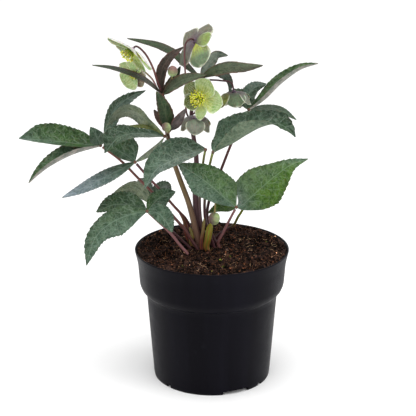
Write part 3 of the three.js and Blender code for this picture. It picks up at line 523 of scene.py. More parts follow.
# Each stalk: where it stands in the soil (X and Y), the places it runs through, its two radii, how far short
# of the last place it ends, and its tone at the soil, half way and at the top.
WINE, SLOE, RUST, ROSE = (70, 38, 42), (100, 74, 78), (124, 78, 70), (142, 98, 98)
DUSK, OLIVE, GREEN, STRAW = (96, 62, 66), (136, 126, 74), (142, 152, 84), (134, 150, 32)
BARK, CORAL, MUSTARD, BRACKEN = (118, 82, 78), (146, 78, 42), (96, 100, 26), (136, 116, 80)
STALKS = {
    "stem_left": ((-14, -5), [(-16, -20, 9), (-23, 6, 7), (-33, 33, 5), (-41, 56, 2), (-48, 86, -1),
        (-52, 112, 0), (-54, 136, 4)], (3.9, 2.2), 2.8, (BARK, BRACKEN, DUSK)),
    "stem_right": ((-4, 4), [(-11, -20, 0), (-15, 14, -1), (-14, 40, -5), (-14, 62, -8), (-20, 112, -12),
        (-15, 135, -10), (-9, 156, -2)], (4.3, 1.9), 2.8, (WINE, SLOE, DUSK)),
    "stalk_left_high": ((-17, -14), [(-20, -38, 14), (-27, -27, 16), (-46, -5, 17), (-62, 14, 14),
        (-84, 36, 12), (-106, 58, 12), (-129, 75, 10)], (2.2, 1.7), 2.9, (WINE, RUST, RUST)),
    "stalk_left_low": ((-21, 8), [(-21, -26, -6), (-26, -14, 1), (-35, -4, 11), (-45, 7, 19),
        (-56, 20.5, 22), (-70, 35, 24), (-87.5, 55, 24)], (2.1, 1.7), 2.9, (WINE, RUST, DUSK)),
    "stalk_low": ((-28, -34), [(-34, -44, 34), (-46, -29, 37), (-60, -16, 39), (-73, -4, 40)], (2.2, 1.7),
        2.9, (ROSE, ROSE, ROSE)),
    "stalk_low_back": ((-25, -13), [(-32, -38, 12), (-42, -29, 14), (-56, -14, 13), (-70, 6, 8)],
        (1.8, 1.4), 2.9, (WINE, WINE, DUSK)),
    "stalk_middle": ((-4, -6), [(-7.5, -20, 8), (-9.5, -4, 8), (-9.8, 16, 7), (-7, 46, 9), (-5, 60, 14),
        (-3, 70, 26)], (2.2, 1.6), 2.9, (WINE, SLOE, GREEN)),
    "stalk_right_middle": ((3, -10), [(-2, -20, 12), (-4, -6, 11), (-3.8, 12, 10), (0, 42, 14),
        (3.6, 58, 19), (6, 67, 30)], (2.2, 1.7), 2.9, (WINE, WINE, GREEN)),
    "stalk_right_high": ((6, 4), [(2, -26, -4), (-1, -8, -6), (2, 11, -8), (15, 44, -14), (28, 77, -20),
        (40, 103, -24), (49, 118, -25)], (2.2, 1.8), 2.9, (WINE, WINE, RUST)),
    "stalk_right_low": ((9, -5), [(12, -42, 6), (18, -30, 10), (26, -14, 16), (34, 1, 20)], (2.4, 1.6),
        3.9, (RUST, ROSE, ROSE)),
    "stalk_right_second": ((3, 12), [(14, -31, -8), (24, -25, -5), (31, -20, 0), (36, -11, 5),
        (41, -3, 9), (43.5, 4, 18.5)], (2, 1.6), 0.5, (WINE, WINE, STRAW)),
}
# Short stalks that leave a stem or a ring of bracts: places, radii, how far short of their two ends, tones.
SIDE_STALKS = {
    "pedicel_top": ([(-19, 106, -12), (-25, 112, -5), (-27, 130, -3), (-27, 155, 0), (-28, 186, 4),
        (-26, 199, 7), (-21, 203, 6), (-15.4, 200.5, -2)], (1.1, 1), 3.8, 3.45, (DUSK, ROSE, WINE)),
    "pedicel_front": ([(-9, 156, -2), (-7, 151, 1), (-4, 142, 3), (-8.5, 132, 12)], (1.1, 1), 2.6, 3.1,
        (DUSK, OLIVE, GREEN)),
    "pedicel_right_back": ([(-9, 156, -2), (0, 154, -6), (14, 153, -12), (28, 150, -15), (31, 139, -15)],
        (1.1, 1), 4, 2.9, (DUSK, WINE, DUSK)),
    "pedicel_middle": ([(-20, 112, -12), (-16, 114, -6), (-14, 118, 3), (-14, 109, 9)], (1.1, 1), 4.7, 3.1,
        (DUSK, ROSE, GREEN)),
    "pedicel_left": ([(-54, 136, 4), (-60, 150, 8), (-66, 168, 14), (-76, 186, 18), (-86, 194, 20),
        (-91, 190, 26)], (1.4, 1.1), 5, 4, (WINE, RUST, WINE)),
    "pedicel_left_back": ([(-54, 136, 4), (-60, 142, -8), (-68, 156, -22), (-81, 166, -28),
        (-86, 162, -21)], (1.2, 1), 3.4, 4.2, (DUSK, ROSE, GREEN)),
    "stalk_left_stem": ([(-48, 85, -1), (-50, 85.5, 4), (-52, 86, 9)], (1.5, 1.3), 3.8, 2.8,
        (DUSK, OLIVE, OLIVE)),
    "stalk_bracts": ([(-49, 90, -1), (-48, 91, 6), (-46, 93, 14)], (1.5, 1.3), 3.8, 2.8,
        (DUSK, OLIVE, OLIVE)),
}
# The sheaths: where they stand, their places, how wide they are, and their tones from the soil up.
SHEATHS = {
    "sheath_right": ((-5, -17), [(-2, -46, 17), (0, -36, 17.5), (1.5, -26, 17), (3, -18, 16)],
        (3.4, 4.2), (WINE, MUSTARD, STRAW)),
    "sheath_middle": ((-12, -15), [(-8, -40, 15), (-6, -28, 15), (-4.5, -12, 14)], (2.8, 1.5),
        (WINE, WINE, GREEN)),
    "sheath_left": ((-23, -3), [(-20, -40, 4), (-18.5, -32, 5), (-22, -23, 4)], (3.0, 2.2),
        (WINE, OLIVE, GREEN)),
    "sheath_brown": ((-27, 14), [(-26, -30, -12), (-28, -16, -11), (-38, 1.5, -10)], (3.6, 1.5),
        (WINE, DUSK, OLIVE)),
}


def stalk_skin():
    """Satin skin in the stalk's own tones: fine streaks along it, darker specks, and a soft waxy gloss."""
    finish = Finish("stalk skin", 0.42, Specular_IOR_Level=0.22, Subsurface_Weight=0.06,
                    Subsurface_Scale=SUBSURFACE)
    stretched = finish.node("Mapping", "Vector", {"Vector": finish.uv_place(), "Scale": (22, 5, 1)})
    streak = finish.noise(stretched, 1.0, 4, 0.6)
    speck = finish.noise(finish.place(), 850, 3, 0.6)
    own = finish.own_tone()
    tone = finish.mix(finish.band(streak, 0.35, 0.7, 0, 0.55), own, finish.tinted(own, (0.45, 0.4, 0.42, 1)))
    tone = finish.mix(finish.band(streak, 0.6, 0.75, 0, 0.35), tone, linear(160, 138, 110))
    finish.colour(finish.mix(finish.band(speck, 0.58, 0.72, 0, 0.5), tone, linear(58, 28, 32)))
    finish.bump(streak, 0.0003)
    return finish.material


def rooted(root, run):
    """The path of a stalk that stands in the soil: two places straight up in its hole, then the seen ones."""
    foot = [(*root, GROUND - ROOT_DEPTH), (*root, GROUND - 1)]
    return np.concatenate([foot, seen(run)])


def path_between(places, start, end, count):
    """The curve through the places, cut back by `start` and `end` millimetres."""
    length = length_of(places)
    return curve(places, np.linspace(start / length, 1 - end / length, count))


def tones_along(tones, count, sides):
    """Vertex tones that run through three colours from the first ring to the last, and the two cap points."""
    light = light_of(*tones)
    rings = np.stack([np.interp(np.linspace(0, 1, count), [0, 0.45, 1], channel) for channel in light.T], -1)
    return np.concatenate([np.repeat(rings, sides, 0), light[[0, -1]]])


def blend(a, b, share):
    """The values from a, where `share` is 0, to b, where it is 1."""
    return a * (1 - share) + b * share


def make_stalk(name, middle, radii, tones, swell=0.12, slim=1.0):
    """A tube that tapers from thick to thin, swelling towards its foot and a little where it ends. Its right
    side is flushed wine-red, most where the surface faces +X."""
    share = np.linspace(0, 1, len(middle))
    radius = slim * (radii[0] + (radii[1] - radii[0]) * share)
    radius *= 1 + 2.4 * swell * np.exp(-share * 9) + swell * np.exp((share - 1) * 22)
    points, faces, uv = tube(middle, radius)
    tone = tones_along(tones, len(middle), STALK_SIDES)
    toward = (points[:-2, 0] - np.repeat(middle[:, 0], STALK_SIDES)) / np.repeat(radius, STALK_SIDES)
    tone[:-2] = blend(tone[:-2], light_of(WINE), (0.6 * np.clip(toward, 0, 1))[:, None])
    make_piece(name, points, faces, [skin], [name], uv=uv, tone=tone)


skin = stalk_skin()
for name, (root, run, radii, end, tones) in STALKS.items():
    path = path_between(rooted(root, run), 0, end, STALK_RINGS)
    slot, slim = ("stem", 1.0) if name.startswith("stem") else ("stalk", STALK_SLIM)
    make_stalk(name, path, radii, tones, slim=slim)
for name, (run, radii, start, end, tones) in SIDE_STALKS.items():
    make_stalk(name, path_between(seen(run), start, end, SHORT_RINGS), radii, tones, 0.05)


def sheath(root, run, width):
    """A scale curled half round the crown: an arc of 200 degrees, as wide as given at its foot and its top,
    that closes bluntly at the tip. It is swept up a path, and its inner face lies inside the outer one."""
    middle = path_between(rooted(root, run), 0, 0, SHEATH_ROWS)
    share = np.linspace(0, 1, SHEATH_ROWS)[:, None]
    reach = 0.3 + (width[0] + (width[1] - width[0]) * share) * (1 - share**14)
    angle = np.radians(np.linspace(170, 370, SHEATH_COLUMNS))
    inset = SHEATH_THICK * np.minimum(1, reach)
    arcs = [np.stack([away * np.cos(angle), away * np.sin(angle) * 0.8, 0 * away * angle], -1)
            for away in (reach, reach - inset)]
    points = np.concatenate([(middle[:, None] + arc).reshape(-1, 3) for arc in arcs])
    uv = np.stack(np.broadcast_arrays(angle / 6, share), -1).reshape(-1, 2)
    return points, closed_sheet(SHEATH_ROWS, SHEATH_COLUMNS), np.tile(uv, (2, 1))


def closed_sheet(rows, columns):
    """The faces of a sheet with two sides: its upper grid, its lower grid turned over, and the rim
    between."""
    upper = grid_faces(rows, columns)
    lower = upper[:, ::-1] + rows * columns
    across, down = np.arange(columns - 1), np.arange(rows - 1)
    rim = np.concatenate([across, down * columns + columns - 1, rows * columns - 1 - across,
                          (rows - 1 - down) * columns])
    after = np.roll(rim, -1)
    sides = np.stack([after, rim, rim + rows * columns, after + rows * columns], -1)
    return np.concatenate([upper, lower, sides])


for name, (root, run, width, tones) in SHEATHS.items():
    points, faces, uv = sheath(root, run, width)
    stripes = np.tile(0.6 * np.cos(np.linspace(0, 3 * np.pi, SHEATH_COLUMNS)) ** 2, SHEATH_ROWS)[:, None]
    tone = blend(tones_along(tones, SHEATH_ROWS, SHEATH_COLUMNS)[:-2], light_of(CORAL), stripes)
    make_piece(name, points, faces, [skin], [name], uv=uv, tone=np.tile(tone, (2, 1)))

# ---- Leaves ---------------------------------------------------------------------------------------
# Each leaf is a palm of leathery leaflets, joined where they meet the stalk. A leaflet is thin, arched along
# its rib and saw-toothed towards its tip; its top is dark green with a paler net, its underside greyer. The
# tones given to its top also paint light on it: blue-grey where the sky's sheen lies, brighter green where
# light falls, darker green where it is in shade.
DEEP, PINE, MOSS, FERN, VIVID = (42, 66, 44), (56, 82, 54), (60, 92, 38), (98, 128, 80), (80, 118, 14)
TEAL, SLATE, STEEL, FROST = (76, 100, 82), (92, 116, 100), (110, 124, 122), (138, 146, 142)
SAGE, ASH, BLUSH, LIME = (134, 142, 116), (142, 148, 134), (184, 174, 178), (140, 144, 84)
CITRUS, PALE, JADE, CELADON = (160, 166, 100), (158, 160, 138), (80, 104, 74), (122, 138, 122)
# A painted sheen: the silver blue of the sky reflected on a leaflet's top, given to it as a tone.
SKY_SHEEN = (142, 150, 172)
LEAF_THICK = 0.5
LEAF_TIP = 0.35  # half the width left at a leaflet's two ends
CAMBER, FLAT_CAMBER = 0.1, 0.04  # how far each side bulges up between rib and edge, as a share of its width
BELLY = 0.42  # where a leaflet is widest, as a share of its length
LEAF_COLUMNS, TOOTH_ROWS = 29, 8
TOOTH_BACK, TOOTH_MIDDLE = 0.86, 0.45  # the share of a tooth that its long back takes, and its mean height
VEIN_STEP, VEIN_LEAN = 6.5, 1.1  # between two side veins on the rib, and how steeply they run to the tip
# Depths and half widths of the grooves over the rib and the side veins, of the pucker and of the keel below.
RIB_GROOVE, VEIN_GROOVE, PUCKER, KEEL = (0.34, 0.7), (0.16, 0.55), (0.22, 4.2), (0.55, 0.8)


def ribbed(rib, left, right, top, under, **more):
    """One leaflet as a record: its rib's places, its two sides, and the tones of its two faces."""
    return {"rib": rib, "left": left, "right": right, "top": top, "under": under, **more}


# Every leaf: the place where its leaflets meet, and each leaflet's rib from there to its tip, with its two
# sides. A side is (width seen, how far its edge stands in front of the rib), or a list of pairs at even steps
# from stalk to tip; a negative width is a side folded back over the other one. Then come the tones of its
# upper face, one for all of it or pairs for left and right from stalk to tip, and of its underside. The
# upper face's tones hold painted sheen, light and shade as well as the leaflet's colour.
LEAVES = {
    "leaf_left_high": ((-129, 75, 10), [
        ribbed([(-154, 77, 9), (-181, 80, 6), (-204, 82, 2), (-227, 83.5, -3)], (4, 17), [(0, 0), (14, -6),
               (19, -8), (21, -8), (17, -6), (0, 0)], (TEAL, MOSS, MOSS, MOSS, SLATE, MOSS, STEEL, TEAL),
               SAGE),
        ribbed([(-162, 65, 18), (-189, 51, 24), (-204, 40, 26), (-215, 30, 26)], (-4, 14), (14, -12),
               (SLATE, SLATE, PINE, MOSS), BLUSH),
        ribbed([(-132, 82, 20), (-136, 89, 30), (-141, 97, 36)], (9, 3), (9, 2), TEAL, SAGE, plain=True),
        ribbed([(-122, 97, -12), (-110, 120, -24), (-94, 133, -27), (-75, 141, -28)], [(0, 0), (0, -2),
               (5, -6), (8, -9), (5, -5), (0, 0)], (10, 5), (DEEP, TEAL, DEEP, STEEL), ASH),
    ]),
    "leaf_left_low": ((-87.5, 55, 24), [
        ribbed([(-97, 63, 25), (-108, 69, 25), (-118, 74, 22), (-124, 79, 17)], (7, 6), [(0, 0), (17, -5),
               (22, -8), (19, -8), (11, -5), (0, 0)], (SLATE, TEAL, PINE, MOSS), SAGE),
        # Its outer half is silver blue: the sky's sheen on its face, painted into its tone.
        ribbed([(-112, 43, 34), (-136, 31, 42), (-156, 21, 46), (-175, 12.5, 48)], (8, 12), (8, -12),
               (SLATE, PINE, SKY_SHEEN, SKY_SHEEN), ASH),
        ribbed([(-74, 63, 18), (-60, 75, 10), (-53, 84, 4)], (3, -11), (3, 10), SAGE, ASH, plain=True),
    ]),
    "leaf_left_stem": ((-52, 86, 9), [
        ribbed([(-70, 89, 16), (-90, 89.5, 28), (-108, 84, 42), (-124, 66, 54)], [(0, 0), (4, 8), (5, 12),
               (6, 10), (5, 5), (0, 0)], [(0, 0), (5, -6), (6, -8), (13, -6), (15, -2), (0, 0)],
               (FROST, TEAL, PINE, DEEP), SAGE),
        ribbed([(-65, 94, 2), (-78, 98, 1), (-94, 97.5, 1), (-108, 96, 2)], (2, 3), (2, -4), LIME, SAGE,
               plain=True),
        ribbed([(-63, 98, 4), (-74, 105, 2), (-85, 114, -1), (-97, 117, -4), (-110, 111, -7),
               (-120, 100, -10)], (9, -9), [(0, 0), (1, 2), (5, 8), (7, 10), (5, 7), (0, 0)],
               (CITRUS, PALE, ASH, SAGE, ASH, ASH), LIME),
    ]),
    "leaf_low": ((-73, -4, 40), [
        ribbed([(-94, -8, 48), (-118, -19, 54), (-136, -37, 57), (-146, -69, 54)], [(0, 0), (13, 5),
               (19, 8), (12, 7), (8, 4), (0, 0)], [(0, 0), (12, -6), (14, -9), (12, -7), (8, -4), (0, 0)],
               (SLATE, JADE, SLATE, TEAL), ASH),
        ribbed([(-91, 3, 38), (-113, 4, 34), (-134, -5, 28)], (9, 5), (15, -9),
               (TEAL, PINE, JADE, PINE), ASH),
        ribbed([(-61, -6, 48), (-52, -14, 52), (-43, -29, 54)], (13, -4), (8, 5),
               (TEAL, SLATE, SLATE, TEAL), ASH),
        ribbed([(-63, 8, 36), (-52, 16, 32), (-39, 19.5, 28)], (10, -8), (12, 6),
               (MOSS, TEAL, TEAL, TEAL), ASH, plain=True),
    ]),
    "leaf_low_back": ((-70, 6, 8), [
        ribbed([(-77, 16, 4), (-87, 24, 0), (-99, 22, -3), (-114, 17, -6)], (8, -9), (8, 9), SAGE, SAGE,
               plain=True),
        ribbed([(-74, 24, -20), (-80, 30, -48), (-84, 26, -72)], (8, -6), (8, 4), PINE, ASH, plain=True),
        ribbed([(-58, 22, -20), (-50, 26, -42), (-44, 20, -62)], (8, -4), (8, -4), PINE, ASH, plain=True),
    ]),
    "leaf_middle": ((-3, 70, 26), [
        ribbed([(-22, 65, 38), (-43, 57, 48), (-62, 46, 56), (-76, 23, 58)], [(0, 0), (5, 12), (7, 16),
               (7, 12), (4, 6), (0, 0)], [(2, 0), (19, -8), (25, -10), (22, -8), (12, -3), (0, 0)],
               (FROST, DEEP, STEEL, SLATE), ASH),
    ]),
    "leaf_right_middle": ((6, 67, 30), [
        ribbed([(29, 78, 36), (47, 89, 37), (65, 98, 34), (83, 101, 30), (96, 95, 27), (105, 85, 25)],
               [(5, -3), (30, -16), (28, -17), (20, -13), (14, -7), (0, 0)], [(0, 0), (-12, 16), (-16, 17),
               (-7, 15), (4, 8), (0, 0)], (TEAL, TEAL, DEEP, PINE), CELADON),
        ribbed([(12, 78, 12), (24, 88, 3), (38, 95, -4), (50, 100, -8)], (8, -4), (8, 4), PINE, SAGE,
               plain=True),
    ]),
    "leaf_right_high": ((49, 118, -25), [
        ribbed([(67, 130, -29), (89, 151, -33), (112, 167, -35), (132, 173.5, -36)], (11, -14), (-4, 12),
               (MOSS, MOSS, MOSS, TEAL), BLUSH),
        # Its lower side is painted dark: shade where it lies behind the flower that hangs in front of it. Its
        # upper side is painted paler for the light on it.
        ribbed([(47, 132, -33), (55, 144, -39), (70, 149, -43)], (9, -6), (8, 4),
               (TEAL, DEEP, STEEL, DEEP), ASH, plain=True),
        ribbed([(68, 119, -36), (88, 117, -44), (106, 106, -48)], (5, -12), (5, 12), PINE, ASH,
               plain=True),
        ribbed([(46, 128, -56), (31, 134, -82), (15, 128, -104)], (11, 0), (11, 0), PINE, ASH, plain=True),
    ]),
    # On its first two leaflets the blue-grey tones paint the sky's sheen, and the bright yellow-green on the
    # middle of the first one paints the light that falls there.
    "leaf_right_low": ((34, 1, 20), [
        ribbed([(40, 3, 21), (57, 18, 26), (80, 38, 30), (100, 52, 30), (120, 59, 26)], [(0, 0), (25, -6),
               (26, -9), (16, -7), (7, -3), (0, 0)], [(0, 0), (20, 8), (27, 11), (19, 8), (7, 4), (0, 0)],
               (STEEL, SLATE, FERN, VIVID, FERN, VIVID, SLATE, FERN), SAGE),
        ribbed([(18, 14, 26), (2, 28, 32), (-16, 41, 38), (-37, 54, 42)], [(0, 0), (10, 6), (17, 9),
               (20, 9), (11, 5), (0, 0)], [(0, 0), (22, -6), (23, -9), (20, -9), (11, -5), (0, 0)],
               (SLATE, FERN, SLATE, FERN, SLATE, MOSS, SLATE, PINE), SAGE),
        ribbed([(25, -1, 6), (14, -1.5, -6), (0, -6, -16)], (3, 4), (10, -5), VIVID, ASH, plain=True),
    ]),
}


def outline(t, belly):
    """How wide a leaflet is along its length: a sine from 0 at the stalk through 1 at its belly to 0 at the
    tip, raised to the power 0.85."""
    phase = np.where(t < belly, 0.5 * t / belly, 0.5 + 0.5 * (t - belly) / (1 - belly))
    return np.sin(np.pi * phase).clip(0) ** 0.85


def side_along(side, t, belly):
    """Width and forward reach of one side at t: one pair follows the outline; a list is joined by lines and
    by a smooth curve, and the side runs between the two."""
    if not isinstance(side, list):
        return np.asarray(side, float)[:, None] * outline(t, belly)
    even = np.linspace(0, 1, len(side))
    ease = lambda values: np.interp(t, even, values) * 0.45 + 0.55 * smooth_through(even, values, t)
    return np.stack([ease([pair[k] for pair in side]) for k in (0, 1)])


def smooth_through(even, values, t):
    """Cubic Hermite curve through evenly spaced values, its slopes the differences across each value."""
    slope = np.gradient(values, even)
    k = np.clip((t * (len(even) - 1)).astype(int), 0, len(even) - 2)
    step = even[1] - even[0]
    s = (t - even[k]) / step
    low, high = np.asarray(values, float)[k], np.asarray(values, float)[k + 1]
    return (low * (1 + 2 * s) * (1 - s) ** 2 + slope[k] * step * s * (1 - s) ** 2
            + high * s**2 * (3 - 2 * s) + slope[k + 1] * step * s**2 * (s - 1))


def square_to(surface):
    """The unit normal of a grid of points: the step across crossed with the step along."""
    across, along = np.gradient(surface, axis=1), np.gradient(surface, axis=0)
    normal = np.cross(across, along)
    return normal / np.maximum(np.linalg.norm(normal, axis=-1, keepdims=True), 1e-9)


def tooth_wave(t, teeth):
    """A saw wave that leans to the tip: a long rise along each tooth's back, then a short fall."""
    saw = (t * teeth) % 1
    return np.where(saw < TOOTH_BACK, saw / TOOTH_BACK, (1 - saw) / (1 - TOOTH_BACK)) - TOOTH_MIDDLE


def groove(away, form):
    """A bell curve of the distance from the groove's middle."""
    depth, half_width = form
    return depth * np.exp(-((away / half_width) ** 2))


def blade(junction, rib, left, right, belly=BELLY, plain=False, teeth=17, tooth=1.35, seed=1,
          thick=LEAF_THICK):
    """A leaflet's two faces. The rib is a curve; at each step a row runs from the left edge over the rib to
    the right edge, bulging by the camber, and the edge carries the teeth. Grooves over the rib and the side
    veins, and a soft pucker between them, move the surface along its normal."""
    steps = TOOTH_ROWS * teeth + 1
    t = np.linspace(0, 1, steps)
    places = np.concatenate([[junction], rib]).astype(float)
    middle = curve(places, t)
    along = unit(np.gradient(middle[:, :2], axis=0))
    aside = np.stack([-along[:, 1], along[:, 0]], -1)
    rib_points = seen(middle)
    flow = unit(np.gradient(rib_points, axis=0))
    share = np.linspace(-1, 1, LEAF_COLUMNS)
    share = np.sign(share) * np.abs(share) ** 1.15
    surface, reach = np.empty((steps, LEAF_COLUMNS, 3)), np.empty((steps, LEAF_COLUMNS))
    for hand, side, own in ((1, left, share < 0), (-1, right, share >= 0)):
        width, forward = side_along(side, t, belly)
        bite = tooth * tooth_wave(t, teeth) * np.clip((t - 0.12) * 4, 0, 1) * np.minimum(1, np.abs(width) / 6)
        bite *= 0.75 + 0.45 * lumps(t * 60 + 50 + 9 * hand, t * 0 + seed, 5, seed + 3)
        full = width + np.where(width < 0, -LEAF_TIP, LEAF_TIP)
        edge = np.column_stack([middle[:, :2] + hand * aside * full[:, None], middle[:, 2] + forward])
        span = seen(edge) - rib_points
        rise = np.cross(flow, span) * -hand * (FLAT_CAMBER if plain else CAMBER)
        tip = span / np.maximum(np.linalg.norm(span, axis=1, keepdims=True), 1e-6) * bite[:, None]
        part = np.abs(share[own])[:, None]
        surface[:, own] = (rib_points[:, None] + span[:, None] * part
                           + rise[:, None] * (4 * part * (1 - part)) + tip[:, None] * part**5)
        reach[:, own] = -hand * np.linalg.norm(span, axis=1)[:, None] * part.T
    run = (t * length_of(seen(places)))[:, None]
    vein = (run - np.abs(reach) * VEIN_LEAN) / VEIN_STEP
    near_vein = np.abs(vein - np.round(vein)) * VEIN_STEP
    body = np.clip(np.abs(reach) / 1.5, 0, 1) * np.clip((1 - np.abs(share)) * 4, 0, 1)
    pucker = PUCKER[0] * lumps(run + 40 * seed, reach + 90, PUCKER[1], seed)
    relief = pucker * body - groove(reach, RIB_GROOVE) - groove(near_vein, VEIN_GROOVE) * body
    surface = surface + square_to(surface) * relief[..., None]
    normal = square_to(surface)
    half = 0.5 * thick * (0.45 + 0.55 * np.sqrt(1 - np.abs(share) ** 3))[:, None]
    keel = (groove(reach, KEEL) * np.linspace(1, 0.25, steps)[:, None])[..., None]
    uv = np.stack(np.broadcast_arrays(reach / 100 + 0.5, run / 100), -1)
    return np.stack([surface + normal * half, surface - normal * (half + keel)]), uv, np.abs(share)


def leaf_skin(name, vein, strength, roughness, gloss):
    """Leaf face in its own tone: mottled, with the rib, side veins and a fine net paler or darker. The net is
    the border of Voronoi cells in a warped millimetre grid; side veins fade from the rib to the edge."""
    finish = Finish(name, roughness, Specular_IOR_Level=gloss, Subsurface_Weight=0.04,
                    Subsurface_Scale=SUBSURFACE)
    band, maths = finish.band, finish.maths
    grid = finish.uv_place()
    drift = finish.node("TexNoise", "Color", {"Vector": grid, "Scale": 6.0, "Detail": 4.0})
    drift = finish.node("VectorMath", "Vector", {0: drift, 1: (0.2, 0.2, 0)}, operation="MULTIPLY")
    warped = finish.node("VectorMath", "Vector", {0: grid, 1: drift}, operation="ADD")
    across = finish.node("SeparateXYZ", "X", {"Vector": grid})
    along = finish.node("SeparateXYZ", "Y", {"Vector": warped})
    off_rib = maths("ABSOLUTE", maths("SUBTRACT", across, 0.5))
    rib = maths("MULTIPLY", band(off_rib, 0.002, 0.009, 1, 0), 0.65)
    course = maths("SUBTRACT", along, maths("MULTIPLY", off_rib, 0.95))
    near = maths("PINGPONG", maths("DIVIDE", course, 0.12), 0.5)
    side_vein = maths("MULTIPLY", band(near, 0.01, 0.1, 1, 0), band(off_rib, 0.03, 0.2, 0.9, 0.15))
    side_vein = maths("MULTIPLY", side_vein, band(finish.noise(grid, 16, 2), 0.38, 0.58, 0.3, 1))
    net, fine = finish.cell_border(warped, 22.0), finish.cell_border(warped, 62.0)
    veins = maths("MAXIMUM", maths("MULTIPLY", band(net, 0.01, 0.12, 1, 0), 0.6),
                  maths("MULTIPLY", band(fine, 0.02, 0.2, 1, 0), 0.2))
    veins = maths("MULTIPLY", veins, band(finish.noise(grid, 9, 3), 0.35, 0.65, 0.45, 1))
    veins = maths("MAXIMUM", veins, maths("MAXIMUM", side_vein, rib))
    own = finish.own_tone()
    own = finish.mix(band(net, 0.08, 0.4, 0, 0.55), own, finish.tinted(own, (0.5, 0.58, 0.5, 1)))
    mottle = finish.noise(finish.place(), 130, 6, 0.68)
    dark, pale = finish.tinted(own, (0.28, 0.36, 0.29, 1)), finish.tinted(own, (0.74, 0.77, 0.66, 1))
    tone = finish.mix(band(mottle, 0.36, 0.66), dark, pale)
    finish.colour(finish.mix(maths("MULTIPLY", veins, strength), tone, finish.mix(0.5, vein, own)))
    finish.rough(band(mottle, 0.3, 0.7, roughness - 0.06, roughness + 0.08))
    finish.bump(maths("ADD", maths("MULTIPLY", veins, -0.6), finish.noise(grid, 130, 3)), 0.0003)
    return finish.material


def sheet_part(places, uv, tones):
    """A two-faced sheet as a part to be joined: its lower face and its rim take the second finish."""
    rows, columns = places.shape[1:3]
    faces = closed_sheet(rows, columns)
    finish_of = (np.arange(len(faces)) >= (rows - 1) * (columns - 1)).astype(int)
    return places.reshape(-1, 3), faces, np.tile(uv.reshape(-1, 2), (2, 1)), tones.reshape(-1, 3), finish_of


def ball_part(ball, rings, uv, tone, finish_of):
    """A ball as a part to be joined, with one place on the UV map, one tone and one finish all over."""
    faces = grid_faces(rings, len(ball) // rings, closed=True)[:, ::-1]
    uvs, tones = (np.tile(value, (len(ball), 1)) for value in (uv, light_of(tone)))
    return ball, faces, uvs, tones, np.full(len(faces), finish_of)


def joined(parts):
    """Parts laid end to end as one mesh. Each is its points, its faces and any more arrays, and the faces
    count on from part to part."""
    starts = np.cumsum([0] + [len(part[0]) for part in parts])
    faces = np.concatenate([part[1] + start for part, start in zip(parts, starts)])
    points, _, *more = (np.concatenate(rows) for rows in zip(*parts))
    return points, faces, *more


def corner_tones(tone, rows, columns, rim):
    """Vertex tones of one face: pairs of tones, for its left and right side, at even steps from stalk to tip,
    eased from side to side by a tanh and from step to step by a cosine; `rim` tints the outermost edge."""
    pairs = light_of(*(tone if isinstance(tone[0], tuple) else (tone,) * 4)).reshape(-1, 2, 3)
    across = 0.5 + 0.5 * np.tanh(np.linspace(-2.6, 2.6, columns))[None, :, None]
    along = np.linspace(0, len(pairs) - 1.001, rows)
    step, part = along.astype(int), (1 - np.cos(np.pi * (along % 1)))[:, None, None] / 2
    sides = blend(pairs[step][:, None], pairs[step + 1][:, None], part[..., None])
    face = blend(sides[:, :, 0], sides[:, :, 1], across)
    if rim is None:
        return face
    return blend(face, light_of(rim), 0.8 * np.abs(np.linspace(-1, 1, columns))[None, :, None] ** 10)


def make_leaf(name, junction, leaflets, finishes, slot, ball=2.1, rim=None, **shape):
    """One piece for a whole leaf: every leaflet's two faces and rim, and the ball that joins them."""
    parts = []
    for number, leaflet in enumerate(leaflets):
        form = {key: value for key, value in leaflet.items() if key not in ("top", "under")}
        places, uv, off_rib = blade(junction, seed=number + len(name), **shape, **form)
        rows, columns = places.shape[1:3]
        # The tones of a leaflet's top paint the sheen, light and shade on it as well as its colour.
        tones = np.stack([corner_tones(leaflet[side], rows, columns, rim) for side in ("top", "under")])
        parts.append(sheet_part(places, uv, tones * (1.06 - 0.16 * off_rib**2)[:, None]))
    parts.append(ball_part(seen(junction) + ball * ball_grid(9, 12)[0], 9, [0.3, 0.0], RUST, 1))
    points, faces, uv, tone, finish_of = joined(parts)
    make_piece(name, points, faces, finishes, [name], uv=uv, tone=tone, finish_of=finish_of)


leaf_finishes = [leaf_skin("leaf top", linear(174, 192, 174), 0.54, 0.4, 0.14),
                 leaf_skin("leaf underside", linear(176, 182, 150), 0.45, 0.55, 0.15)]
for name, (junction, leaflets) in LEAVES.items():
    make_leaf(name, junction, leaflets, leaf_finishes, "leaf")

